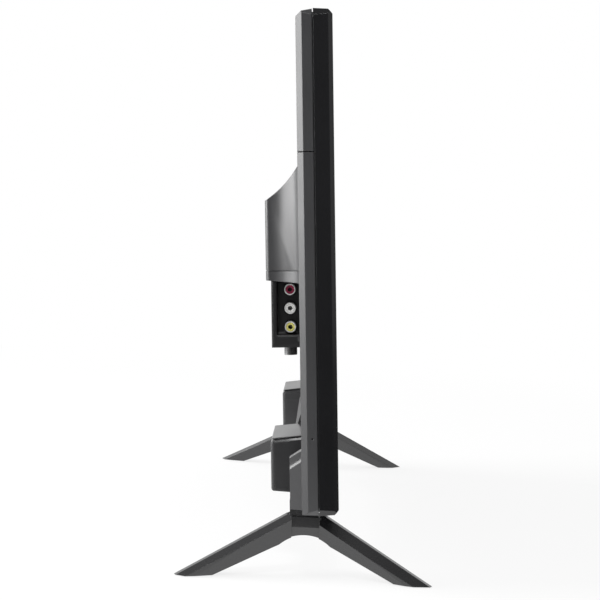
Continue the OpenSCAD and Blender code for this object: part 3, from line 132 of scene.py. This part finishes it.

# Finishes: where noise mostly lies, the samples of a rounded edge, the cosine of its turn where its painted
# highlight starts and where it is full, and the roughness of a clear coat
NOISE_SPAN = (0.2, 0.8)
BEVEL_SAMPLES = 4
EDGE_TURN = (0.99, 0.8)
COAT_ROUGHNESS = 0.05

# Clouds to a metre, and the shares by which the roughness and the colour swing with them
MOULDED_CLOUDS = 30
MOULDED_SWING = 0.1
PATTERNED_CLOUDS = 120
PATTERNED_SWING = 0.15
PATTERNED_MOTTLE = 0.1
FLOOR_CLOUDS = 3

# Screen: clouds and sparkles to a metre, its two tones, its range of roughness, and its relief in metres with
# the strength of that
SCREEN_CLOUDS = 8
SCREEN_SPARKLE = 6000
SCREEN_TONES = ((0.006, 0.006, 0.008), (0.008, 0.008, 0.011))
SCREEN_ROUGHNESS = (0.2, 0.3)
SCREEN_RELIEF = 0.00001
SCREEN_STRENGTH = 0.3

# Nodes whose finish is a darker copy of their slot's: the antenna stub's plated metal, darkened as painted
# shade for its dark reflections
SHADED_FINISH = {"antenna_connector": "antenna_plated_shaded"}

# Camera: taken from the photograph's vanishing point, in the pixels of its 600 by 600 frame
IMAGE_PX = 600
FOCAL_PX = 1771.0
VANISHING_PX = (329.0, 203.0)
CAMERA_ROLL = math.radians(2.75)
CAMERA_AT = (0.0053, -1.4175, 0.24855)
SENSOR_MM = 36.0

# Lamps, in metres and watts
KEY_LAMP = {"at": (-2.0, -0.05, 0.75), "target": (0, -0.2, 0.25), "size": 1.7, "watts": 62}
FRONT_LAMP = {"at": (-0.2, -1.1, 1.75), "target": (0, -0.2, 0.2), "size": 0.5, "watts": 9}

# Surround: its light on the set; in reflections, its level round the camera and its level on the screen's
# side, and the spans of direction over which it turns white beyond the set and reaches its side level
AMBIENT = 0.75
SURROUND_NEAR = 0.17
SURROUND_SIDE = 0.45
BEYOND_SPAN = (0.0, 1.0)
SIDE_SPAN = (0.4, 1.0)

# Floor, in metres: half its width, its height just under the soles and its two tones of white; then the
# share of plain white that the eye gets near the set, and the distances over which that becomes full
FLOOR_HALF = 8.0
FLOOR_HEIGHT = -0.0002
FLOOR_TONES = ((0.86, 0.86, 0.86), (0.88, 0.88, 0.88))
FLOOR_WHITE = 0.8
FLOOR_FADE = (0.45, 1.4)

# In reflections the floor is dark beyond an edge near the camera: the direction from the dark part to the
# white one, the span along it where the two meet, and the level of the dark part
TABLE_ALONG = (-0.7, 1, 0)
TABLE_EDGE = (-0.46, -0.3)
TABLE_DARK = 0.12


def node(tree, kind, inputs=None, **settings):
    """Adds a shader node; an input is a value or the socket that feeds it."""
    made = tree.nodes.new(kind)
    for name, value in settings.items():
        setattr(made, name, value)
    for name, value in (inputs or {}).items():
        if isinstance(value, bpy.types.NodeSocket):
            tree.links.new(value, made.inputs[name])
        else:
            made.inputs[name].default_value = value
    return made


def empty_tree(owner):
    """The node tree of a material or world, cleared."""
    owner.use_nodes = True
    owner.node_tree.nodes.clear()
    return owner.node_tree


def new_shader(name):
    """An empty material with one Principled shader: the material, its tree and the shader."""
    mat = bpy.data.materials.new(name)
    tree = empty_tree(mat)
    shader = node(tree, "ShaderNodeBsdfPrincipled")
    node(tree, "ShaderNodeOutputMaterial", {"Surface": shader.outputs["BSDF"]})
    return mat, tree, shader


def object_coords(tree):
    """The place on the object, in metres in its own frame."""
    return node(tree, "ShaderNodeTexCoord").outputs["Object"]


def noise(tree, coords, scale, detail=2):
    """A cloudy value that keeps near a half; scale is how many clouds there are to a metre."""
    return node(tree, "ShaderNodeTexNoise",
                {"Vector": coords, "Scale": scale, "Detail": detail}).outputs["Fac"]


def math_node(tree, operation, a, b=0.5):
    """One step of arithmetic; a step that takes one value leaves the second alone."""
    return node(tree, "ShaderNodeMath", {0: a, 1: b}, operation=operation).outputs["Value"]


def map_range(tree, value, span, low, high, kind="LINEAR"):
    """Runs from low at the start of a span to high at its end, and keeps still outside it."""
    return node(tree, "ShaderNodeMapRange",
                {"Value": value, "From Min": span[0], "From Max": span[1], "To Min": low, "To Max": high},
                interpolation_type=kind).outputs["Result"]


def spread(tree, value, low, high):
    """Stretches a noise value, which keeps near a half, to run from low to high."""
    return map_range(tree, value, NOISE_SPAN, low, high)


def ramp(tree, value, span, low, high):
    """Like map_range, with soft ends."""
    return map_range(tree, value, span, low, high, "SMOOTHSTEP")


def mixed(tree, factor, low, high):
    """Low where the factor is 0 and high where it is 1."""
    return node(tree, "ShaderNodeMix", {"Factor": factor, "A": low, "B": high}).outputs["Result"]


def mixed_colour(tree, factor, ground, colour):
    """The ground's colour where the factor is 0, and one plain colour where it is 1."""
    return node(tree, "ShaderNodeMix", {0: factor, 6: ground, 7: (*colour, 1)}, data_type="RGBA").outputs[2]


def two_tone(tree, value, dark, light):
    """A colour that runs from dark to light with a noise value."""
    tones = node(tree, "ShaderNodeValToRGB", {"Fac": value})
    for stop, place, colour in zip(tones.color_ramp.elements, NOISE_SPAN, (dark, light)):
        stop.position = place
        stop.color = (*colour, 1)
    return tones.outputs["Color"]


def shade(colour, factor):
    """A colour made darker or lighter by a factor."""
    return tuple(min(1.0, c * factor) for c in colour)


def box_edges(tree, coords, edge_mm, round_mm):
    """An edge radius that is larger on the speaker boxes, low down behind the panel; it rounds their shading
    and widens their painted highlight.
    """
    place = node(tree, "ShaderNodeSeparateXYZ", {0: coords}).outputs
    radius = ramp(tree, place["Z"], BOXES_BELOW, edge_mm / 1000, round_mm / 1000)
    return mixed(tree, ramp(tree, place["X"], BOXES_BEHIND, 0.0, 1.0), edge_mm / 1000, radius)


def slope_mask(tree, coords):
    """1 on the slope between the speaker boxes, which is moulded with a coarser texture, and 0 elsewhere."""
    place = node(tree, "ShaderNodeSeparateXYZ", {0: coords}).outputs
    between = ramp(tree, math_node(tree, "ABSOLUTE", place["Y"]), SLOPE_SIDE, 1.0, 0.0)
    above = ramp(tree, place["Z"], SLOPE_LOW, 0.0, between)
    return mixed(tree, ramp(tree, place["Z"], SLOPE_TOP, 0.0, 1.0), above, 0.0)


def moulded(name, colour, roughness, grain_mm=0.4, grain_depth=0.02, mottle=0.06, edge_mm=0.5,
            painted_edge_highlight=1.25, specular=0.5, metallic=0.0, coat=0.0, stretch=(1, 1, 1), round_mm=None,
            slope_roughness=None):
    """A moulded, cast or plated surface: fine grain, slight cloudiness, and softened edges lightened in
    colour as a painted highlight.

    round_mm is the radius of the speaker boxes' edges, which also sets the width of their painted highlight,
    and slope_roughness is the roughness of the slope between the boxes.
    """
    mat, tree, shader = new_shader(name)
    coords = object_coords(tree)
    along = node(tree, "ShaderNodeMapping", {"Vector": coords, "Scale": stretch}).outputs["Vector"]
    cloud = noise(tree, coords, MOULDED_CLOUDS)
    grain = noise(tree, along, 1000 / grain_mm)
    radius = box_edges(tree, coords, edge_mm, round_mm) if round_mm else edge_mm / 1000
    rounded = node(tree, "ShaderNodeBevel", {"Radius": radius}, samples=BEVEL_SAMPLES).outputs["Normal"]
    flat = node(tree, "ShaderNodeNewGeometry").outputs["Normal"]
    turn = node(tree, "ShaderNodeVectorMath", {0: rounded, 1: flat}, operation="DOT_PRODUCT").outputs["Value"]
    # 1 on rounded edges, where the colour is lightened as a painted highlight
    edge = map_range(tree, turn, EDGE_TURN, 0.0, 1.0)
    body = two_tone(tree, cloud, shade(colour, 1 - mottle), shade(colour, 1 + mottle))
    tree.links.new(mixed_colour(tree, edge, body, shade(colour, painted_edge_highlight)), shader.inputs["Base Color"])
    matt = spread(tree, cloud, roughness * (1 - MOULDED_SWING), roughness * (1 + MOULDED_SWING))
    if slope_roughness:
        matt = mixed(tree, slope_mask(tree, coords), matt, slope_roughness)
    tree.links.new(matt, shader.inputs["Roughness"])
    bump = node(tree, "ShaderNodeBump", {"Height": grain, "Strength": 1.0, "Distance": grain_depth / 1000,
                                         "Normal": rounded})
    tree.links.new(bump.outputs["Normal"], shader.inputs["Normal"])
    shader.inputs["Metallic"].default_value = metallic
    shader.inputs["Specular IOR Level"].default_value = specular
    shader.inputs["Coat Weight"].default_value = coat
    shader.inputs["Coat Roughness"].default_value = COAT_ROUGHNESS
    return mat


def patterned(name, ground, lines, roughness, cell_mm, width):
    """A sheet with a fine pattern: tracks on a board, or turns of tape."""
    mat, tree, shader = new_shader(name)
    coords = object_coords(tree)
    cells = node(tree, "ShaderNodeTexVoronoi", {"Vector": coords, "Scale": 1000 / cell_mm},
                 distance="CHEBYCHEV")
    cloud = noise(tree, coords, PATTERNED_CLOUDS, detail=3)
    body = two_tone(tree, cloud, shade(ground, 1 - PATTERNED_MOTTLE), shade(ground, 1 + PATTERNED_MOTTLE))
    mask = math_node(tree, "LESS_THAN", cells.outputs["Distance"], width)
    tree.links.new(mixed_colour(tree, mask, body, lines), shader.inputs["Base Color"])
    matt = spread(tree, cloud, roughness * (1 - PATTERNED_SWING), roughness * (1 + PATTERNED_SWING))
    tree.links.new(matt, shader.inputs["Roughness"])
    return mat


def screen_surface(name):
    """The anti-glare face of the liquid crystal cell, switched off: nearly black, with a fine sparkle."""
    mat, tree, shader = new_shader(name)
    coords = object_coords(tree)
    fine = noise(tree, coords, SCREEN_SPARKLE, detail=1)
    black = two_tone(tree, noise(tree, coords, SCREEN_CLOUDS), *SCREEN_TONES)
    tree.links.new(black, shader.inputs["Base Color"])
    tree.links.new(spread(tree, fine, *SCREEN_ROUGHNESS), shader.inputs["Roughness"])
    bump = node(tree, "ShaderNodeBump", {"Height": fine, "Strength": SCREEN_STRENGTH,
                                         "Distance": SCREEN_RELIEF})
    tree.links.new(bump.outputs["Normal"], shader.inputs["Normal"])
    return mat


# Colour and roughness of each moulded finish, and what else differs from the usual; the lighter edges are a
# painted highlight
MOULDED = {
    "bezel_black": ((0.007, 0.007, 0.008), 0.16, {"grain_mm": 3, "grain_depth": 0.002, "mottle": 0.15,
                                                  "edge_mm": 0.4, "painted_edge_highlight": 2.0}),
    "frame_plastic": ((0.03, 0.03, 0.03), 0.5, {}),
    "film_white": ((0.8, 0.81, 0.82), 0.4, {"grain_mm": 1, "mottle": 0.02}),
    "guide_acrylic": ((0.72, 0.79, 0.82), 0.1, {"grain_mm": 2, "mottle": 0.02}),
    "led_white": ((0.75, 0.72, 0.55), 0.5, {"mottle": 0.04}),
    "tray_steel": ((0.55, 0.56, 0.57), 0.35, {"grain_mm": 0.6, "metallic": 1.0, "stretch": (1, 0.05, 1)}),
    "cover_charcoal": ((0.03, 0.03, 0.032), 0.3, {"grain_mm": 0.5, "grain_depth": 0.012, "mottle": 0.05,
                                                  "edge_mm": 0.8, "painted_edge_highlight": 1.3, "specular": 0.85,
                                                  "round_mm": 3.0, "slope_roughness": 0.7}),
    "bracket_black": ((0.013, 0.013, 0.014), 0.36, {"edge_mm": 3.0, "painted_edge_highlight": 1.6, "specular": 0.85}),
    "jack_plated": ((0.92, 0.92, 0.9), 0.35, {"grain_mm": 0.8, "grain_depth": 0.004, "metallic": 0.15,
                                              "edge_mm": 0.6, "painted_edge_highlight": 1.05}),
    # The antenna stub's plated metal, darkened as painted shade
    "antenna_plated_shaded": ((0.2, 0.2, 0.2), 0.3, {"grain_mm": 0.8, "grain_depth": 0.004, "metallic": 1.0,
                                              "edge_mm": 0.2}),
    "jack_red": ((0.32, 0.012, 0.06), 0.3, {"edge_mm": 0.5}),
    "jack_white": ((0.9, 0.9, 0.87), 0.35, {"edge_mm": 0.4, "painted_edge_highlight": 1.0, "mottle": 0.02}),
    "jack_yellow": ((0.8, 0.74, 0.2), 0.35, {"edge_mm": 0.4}),
    "socket_black": ((0.015, 0.015, 0.015), 0.45, {"painted_edge_highlight": 2.0}),
    "sink_aluminium": ((0.6, 0.61, 0.62), 0.32, {"metallic": 1.0, "stretch": (1, 1, 0.04)}),
    "ribbon_white": ((0.72, 0.72, 0.68), 0.4, {"grain_mm": 1.0, "stretch": (1, 1, 0.02)}),
    "speaker_frame": ((0.045, 0.045, 0.045), 0.4, {}),
    "speaker_cone": ((0.02, 0.02, 0.02), 0.7, {"grain_mm": 0.7, "grain_depth": 0.05}),
    "speaker_magnet": ((0.25, 0.25, 0.25), 0.35, {"metallic": 1.0}),
    "sensor_red": ((0.04, 0.006, 0.008), 0.12, {"mottle": 0.02}),
    "key_charcoal": ((0.12, 0.12, 0.126), 0.4, {"painted_edge_highlight": 1.5}),
    "sign_print": ((0.42, 0.42, 0.42), 0.5, {"mottle": 0.03, "edge_mm": 0.03, "painted_edge_highlight": 1.0}),
    "foot_black": ((0.01, 0.01, 0.011), 0.26, {"grain_mm": 1.2, "grain_depth": 0.006, "painted_edge_highlight": 1.4,
                                               "specular": 0.9, "coat": 0.3}),
    "sole_rubber": ((0.015, 0.015, 0.015), 0.8, {"grain_mm": 0.8, "grain_depth": 0.06}),
    "screw_black": ((0.06, 0.06, 0.065), 0.35, {"metallic": 0.6, "edge_mm": 0.2}),
    "screw_zinc": ((0.6, 0.6, 0.6), 0.3, {"metallic": 1.0, "edge_mm": 0.2}),
    "insert_brass": ((0.6, 0.43, 0.15), 0.3, {"metallic": 1.0, "edge_mm": 0.2}),
}

# Ground, pattern, roughness, size of the pattern in millimetres and its share
PATTERNED = {
    "board_green": ((0.015, 0.1, 0.04), (0.05, 0.22, 0.09), 0.35, 5, 0.12),
    "board_tan": ((0.4, 0.28, 0.12), (0.5, 0.38, 0.2), 0.5, 7, 0.1),
    "transformer_yellow": ((0.6, 0.43, 0.05), (0.35, 0.24, 0.03), 0.4, 4, 0.15),
    "capacitor_blue": ((0.02, 0.035, 0.12), (0.3, 0.32, 0.36), 0.3, 11, 0.1),
}

MATERIALS = {
    "screen_glass": screen_surface("screen_glass"),
    **{name: moulded(name, colour, rough, **more) for name, (colour, rough, more) in MOULDED.items()},
    **{name: patterned(name, *look) for name, look in PATTERNED.items()},
}


def dress_nodes():
    """Gives each CAD node the material of its slot in the record, or a darkened copy of it that paints shade.
    """
    for part in frame["record"]["subparts"]:
        cad = frame["nodes"][part["node"]]
        cad.data.materials.clear()
        cad.data.materials.append(MATERIALS[SHADED_FINISH.get(part["node"], part["material_slot"])])


def add_object(name, data):
    """A new object in the scene."""
    made = bpy.data.objects.new(name, data)
    bpy.context.scene.collection.objects.link(made)
    return made


def finish_piece(name, bm, slot, body="set", finish=None):
    """Turns a bmesh in millimetres, in the panel's frame, into a piece that rides on a body."""
    bm.transform(PANEL @ Matrix.Scale(0.001, 4))
    bmesh.ops.recalc_face_normals(bm, faces=bm.faces)
    mesh = bpy.data.meshes.new(name)
    bm.to_mesh(mesh)
    bm.free()
    mesh.materials.append(MATERIALS[finish or slot])
    piece = add_object(name, mesh)
    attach(piece, body)
    return piece


def ring(bm, centre, radius, level, axis=0, steps=32):
    """A ring of vertices round an axis: 0 is p, 1 is y and 2 is r."""
    verts = []
    for i in range(steps):
        turn = 2 * math.pi * i / steps
        point = [centre[0] + radius * math.cos(turn), centre[1] + radius * math.sin(turn)]
        point.insert(axis, level)
        verts.append(bm.verts.new(point))
    return verts


def bridge(bm, a, b, smooth=True):
    """Joins two rings of as many vertices with a band of faces."""
    for i in range(len(a)):
        face = bm.faces.new((a[i - 1], a[i], b[i], b[i - 1]))
        face.smooth = smooth


def revolved(bm, centre, profile, level, axis):
    """A closed profile of radius and height above a level, turned round an axis."""
    loops = [ring(bm, centre, radius, level + lift, axis) for radius, lift in profile]
    for a, b in zip(loops, loops[1:] + loops[:1]):
        bridge(bm, a, b)


def stacked(bm, low, rim, top):
    """A closed block through three outlines of as many points."""
    loops = [[bm.verts.new(point) for point in outline] for outline in (low, rim, top)]
    for a, b in zip(loops, loops[1:]):
        bridge(bm, a, b, smooth=False)
    bm.faces.new(loops[0])
    bm.faces.new(loops[-1])


def add_screw(bm, y, r, seat, head_r, head_h, shaft_r, length):
    """A pan head screw from behind: a domed head with a cross recess, and its shaft."""
    centre = (y, r)
    top = seat - head_h
    rings = [ring(bm, centre, shaft_r, seat + length), ring(bm, centre, shaft_r, seat)]
    rings += [ring(bm, centre, head_r * wide, seat - head_h * high) for wide, high in SCREW_DOME]
    bm.faces.new(rings[0])
    for a, b in zip(rings, rings[1:]):
        bridge(bm, a, b)
    arm, half = head_r * CROSS_ARM, head_r * CROSS_HALF
    cross = [(arm, -half), (arm, half), (half, half), (half, arm), (-half, arm), (-half, half),
             (-arm, half), (-arm, -half), (-half, -half), (-half, -arm), (half, -arm), (half, -half)]
    rim = [bm.verts.new((top, y + a, r + b)) for a, b in cross]
    floor = [bm.verts.new((top + head_h * CROSS_DEEP, y + a * CROSS_TAPER, r + b * CROSS_TAPER))
             for a, b in cross]
    bridge(bm, rim, floor, smooth=False)
    bm.faces.new(floor)
    edges = [bm.edges.get((loop[i - 1], loop[i])) or bm.edges.new((loop[i - 1], loop[i]))
             for loop in (rings[-1], rim) for i in range(len(loop))]
    bmesh.ops.triangle_fill(bm, edges=edges, use_beauty=True)


def make_screws(name, places, seat, sizes, slot):
    """The same screw at mirrored places on both sides of the set, standing for a CAD node."""
    bm = bmesh.new()
    for side in (-1, 1):
        for y, r in places:
            add_screw(bm, side * y, r, seat, **sizes)
    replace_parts(finish_piece(name + "_detailed", bm, slot), name)


def make_antenna_thread():
    """The thread on the antenna stub: one helical ridge that fades out over a turn at each end."""
    bm = bmesh.new()
    low, high = ANTENNA_ENDS
    count = int((high - low) / THREAD_PITCH * THREAD_STEPS)
    root = ANTENNA_RADIUS - THREAD_SUNK
    rows = []
    for i in range(count + 1):
        turn = 2 * math.pi * i / THREAD_STEPS
        fade = min(1.0, i / THREAD_STEPS, (count - i) / THREAD_STEPS)
        r = low + THREAD_PITCH * i / THREAD_STEPS
        section = ((root, -THREAD_HALF), (ANTENNA_RADIUS + THREAD_HEIGHT * fade, 0), (root, THREAD_HALF))
        rows.append([bm.verts.new((ANTENNA[0] + radius * math.cos(turn),
                                   ANTENNA[1] + radius * math.sin(turn), r + lift))
                     for radius, lift in section])
    for a, b in zip(rows, rows[1:]):
        bridge(bm, a, b)
    bm.faces.new(rows[0])
    bm.faces.new(rows[-1])
    # The darkened plated metal of the stub, painted shade
    finish_piece("antenna_thread", bm, "jack_plated", finish="antenna_plated_shaded")


def make_antenna_core():
    """The white insulator in the open end of the antenna stub, round its contact."""
    bm = bmesh.new()
    revolved(bm, ANTENNA, CORE_PROFILE, ANTENNA_ENDS[0] + CORE_DEEP, axis=2)
    finish_piece("antenna_core", bm, "jack_white")


def make_jack_bore_shades():
    """The spring contact down the bore of each audio and video jack, painted black as the shade of the deep
    hole.
    """
    bm = bmesh.new()
    for height in JACK_HEIGHTS:
        revolved(bm, (JACK_P, height), JACK_BORE_SHADE, JACK_MOUTH, axis=1)
    # Black here is painted shade of the deep bore, not the contact's own colour
    finish_piece("jack_bore_shades", bm, "socket_black")


def plate(bm, outline, back, face, edge=0.04):
    """A thin plate across p: an outline of (y, r) points, with a bevelled rim at its face."""
    middle = Vector((sum(y for y, r in outline), sum(r for y, r in outline))) / len(outline)
    inner = [Vector(point) + (middle - Vector(point)).normalized() * edge for point in outline]
    stacked(bm, [(back, y, r) for y, r in outline], [(face + edge, y, r) for y, r in outline],
            [(face, y, r) for y, r in inner])


def bar(width, height, y=0.0, r=0.0):
    """The corners of a rectangle about a middle, in turn."""
    return [(y - width / 2, r - height / 2), (y + width / 2, r - height / 2),
            (y + width / 2, r + height / 2), (y - width / 2, r + height / 2)]


def arc(inner, outer, start, end, steps=20):
    """A broad arc in short pieces, from one angle to another in degrees."""
    turns = [math.radians(start + (end - start) * i / steps) for i in range(steps + 1)]
    return [[(radius * math.cos(turn), radius * math.sin(turn))
             for radius, turn in ((inner, a), (outer, a), (outer, b), (inner, b))]
            for a, b in zip(turns, turns[1:])]


def make_key_signs():
    """A plain printed sign on each key, from the lowest key upwards, drawn about the key's middle."""
    arrow = [(-1.9, -1.3), (1.9, -1.3), (0.0, 1.6)]
    box = [bar(0.45, 3.2, -1.9), bar(0.45, 3.2, 1.9), bar(3.35, 0.45, 0, -1.375), bar(3.35, 0.45, 0, 1.375)]
    signs = {"volume_down": [bar(3.8, 0.7)],
             "volume_up": [bar(3.8, 0.7), bar(0.7, 1.55, 0, 1.125), bar(0.7, 1.55, 0, -1.125)],
             "channel_down": [[(y, -r) for y, r in reversed(arrow)]],
             "channel_up": [arrow],
             "menu": [bar(3.8, 0.6, 0, lift) for lift in (-1.3, 0, 1.3)],
             "input": box + [[(-0.9, -0.8), (0.9, 0.0), (-0.9, 0.8)]],
             "power": arc(1.25, 1.75, 120, 420) + [bar(0.5, 1.7, 0, 1.15)]}
    for i, (key, outlines) in enumerate(signs.items()):
        bm = bmesh.new()
        for outline in outlines:
            plate(bm, [(KEY_Y + y, KEY_LOW + i * KEY_PITCH + r) for y, r in outline], SIGN_BACK, SIGN_FACE)
        finish_piece(key + "_sign", bm, "key_charcoal", key + "_key", finish="sign_print")


def make_contacts():
    """Gilt contact strips on the tongues of the two data sockets."""
    bm = bmesh.new()
    for y, width, back, count in SOCKET_TONGUES:
        pitch = width / count
        for i in range(count):
            middle = y - width / 2 + (i + 0.5) * pitch
            plate(bm, bar(pitch * CONTACT_SHARE, CONTACT_LENGTH, middle, CONTACT_HEIGHT),
                  back + CONTACT_SUNK, back - CONTACT_PROUD, CONTACT_BEVEL)
    finish_piece("socket_contacts", bm, "insert_brass")


def make_bracket_clip():
    """The small snap tab that holds the connector box beside the panel."""
    bm = bmesh.new()
    p, y, r = BRACKET_CLIP
    outline = bar(*CLIP_SIZE)
    stacked(bm, [(p + a, y + CLIP_SUNK, r + b) for a, b in outline],
            [(p + a, y - CLIP_OUT * CLIP_RIM, r + b) for a, b in outline],
            [(p + a * CLIP_TIP[0], y - CLIP_OUT, r + b * CLIP_TIP[1]) for a, b in outline])
    finish_piece("bracket_clip", bm, "cover_charcoal")


def ray_kinds(tree):
    """Two sockets: 1 for rays straight from the camera, and 1 for rays off a gloss or through glass."""
    path = node(tree, "ShaderNodeLightPath").outputs
    mirrored = math_node(tree, "MAXIMUM", path["Is Glossy Ray"], path["Is Transmission Ray"])
    return path["Is Camera Ray"], mirrored


def floor_white():
    """Paper that is nearly plain white to the eye, with the set's shadow, and that glows in reflections."""
    mat = bpy.data.materials.new("floor_white")
    tree = empty_tree(mat)
    coords = object_coords(tree)
    tone = two_tone(tree, noise(tree, coords, FLOOR_CLOUDS), *FLOOR_TONES)
    paper = node(tree, "ShaderNodeBsdfDiffuse", {"Color": tone})
    camera, mirrored = ray_kinds(tree)
    reach = node(tree, "ShaderNodeVectorMath", {0: coords}, operation="LENGTH").outputs["Value"]
    plain = math_node(tree, "MULTIPLY", camera, ramp(tree, reach, FLOOR_FADE, FLOOR_WHITE, 1.0))
    ahead = node(tree, "ShaderNodeVectorMath", {0: coords, 1: TABLE_ALONG},
                 operation="DOT_PRODUCT").outputs["Value"]
    table = ramp(tree, ahead, TABLE_EDGE, TABLE_DARK, 1.0)
    glow = node(tree, "ShaderNodeEmission",
                {"Color": (1, 1, 1, 1), "Strength": mixed(tree, mirrored, 1.0, table)})
    mix = node(tree, "ShaderNodeMixShader",
               {0: mixed(tree, mirrored, plain, 1.0), 1: paper.outputs[0], 2: glow.outputs[0]})
    node(tree, "ShaderNodeOutputMaterial", {"Surface": mix.outputs[0]})
    return mat


def make_stage():
    """A white floor that keeps the set's shadow."""
    mesh = bpy.data.meshes.new("floor")
    corners = bar(2 * FLOOR_HALF, 2 * FLOOR_HALF)
    mesh.from_pydata([(x, y, FLOOR_HEIGHT) for x, y in corners], [], [(0, 1, 2, 3)])
    mesh.materials.append(floor_white())
    floor = add_object("floor", mesh)


def make_world():
    """A white surround to the eye; in reflections it is white beyond the set and grey round the camera."""
    world = bpy.data.worlds.new("studio")
    bpy.context.scene.world = world
    tree = empty_tree(world)
    camera, mirrored = ray_kinds(tree)
    toward = node(tree, "ShaderNodeTexCoord").outputs["Generated"]
    side = node(tree, "ShaderNodeSeparateXYZ", {0: toward}).outputs
    surround = math_node(tree, "MAXIMUM", ramp(tree, side["Y"], BEYOND_SPAN, SURROUND_NEAR, 1.0),
                         ramp(tree, side["X"], SIDE_SPAN, 0.0, SURROUND_SIDE))
    level = mixed(tree, camera, mixed(tree, mirrored, AMBIENT, surround), 1.0)
    light = node(tree, "ShaderNodeBackground", {"Color": (1, 1, 1, 1), "Strength": level})
    node(tree, "ShaderNodeOutputWorld", {"Surface": light.outputs[0]})


def make_lamp(name, at, target, size, watts):
    """A square soft light aimed at a point."""
    data = bpy.data.lights.new(name, "AREA")
    data.size = size
    data.energy = watts
    lamp = add_object(name, data)
    lamp.location = at
    lamp.rotation_euler = (Vector(target) - Vector(at)).to_track_quat("-Z", "Y").to_euler()
    lamp.visible_camera = False


def make_camera():
    """The photograph's camera, from the vanishing point of the lines that run across the set."""
    middle = IMAGE_PX / 2
    across = Vector((VANISHING_PX[0] - middle, middle - VANISHING_PX[1], -FOCAL_PX)).normalized()
    up = Vector((math.sin(CAMERA_ROLL), math.cos(CAMERA_ROLL), 0))
    up = (up - across * up.dot(across)).normalized()
    ahead = across.cross(up)
    data = bpy.data.cameras.new("camera")
    data.sensor_width = SENSOR_MM
    data.lens = FOCAL_PX / IMAGE_PX * SENSOR_MM
    camera = add_object("camera", data)
    camera.matrix_world = Matrix.Translation(CAMERA_AT) @ Matrix((ahead, across, up)).to_4x4()
    bpy.context.scene.camera = camera


make_camera()
dress_nodes()
make_screws("cover_screws", COVER_SCREWS, COVER_SEAT, COVER_SCREW, "screw_black")
make_screws("foot_screws", FOOT_SCREWS, FOOT_SEAT, FOOT_SCREW, "screw_black")
make_antenna_thread()
make_antenna_core()
make_jack_bore_shades()
make_key_signs()
make_contacts()
make_bracket_clip()
make_stage()
make_world()
make_lamp("key", **KEY_LAMP)
make_lamp("front", **FRONT_LAMP)
bpy.context.scene.view_settings.view_transform = "Standard"
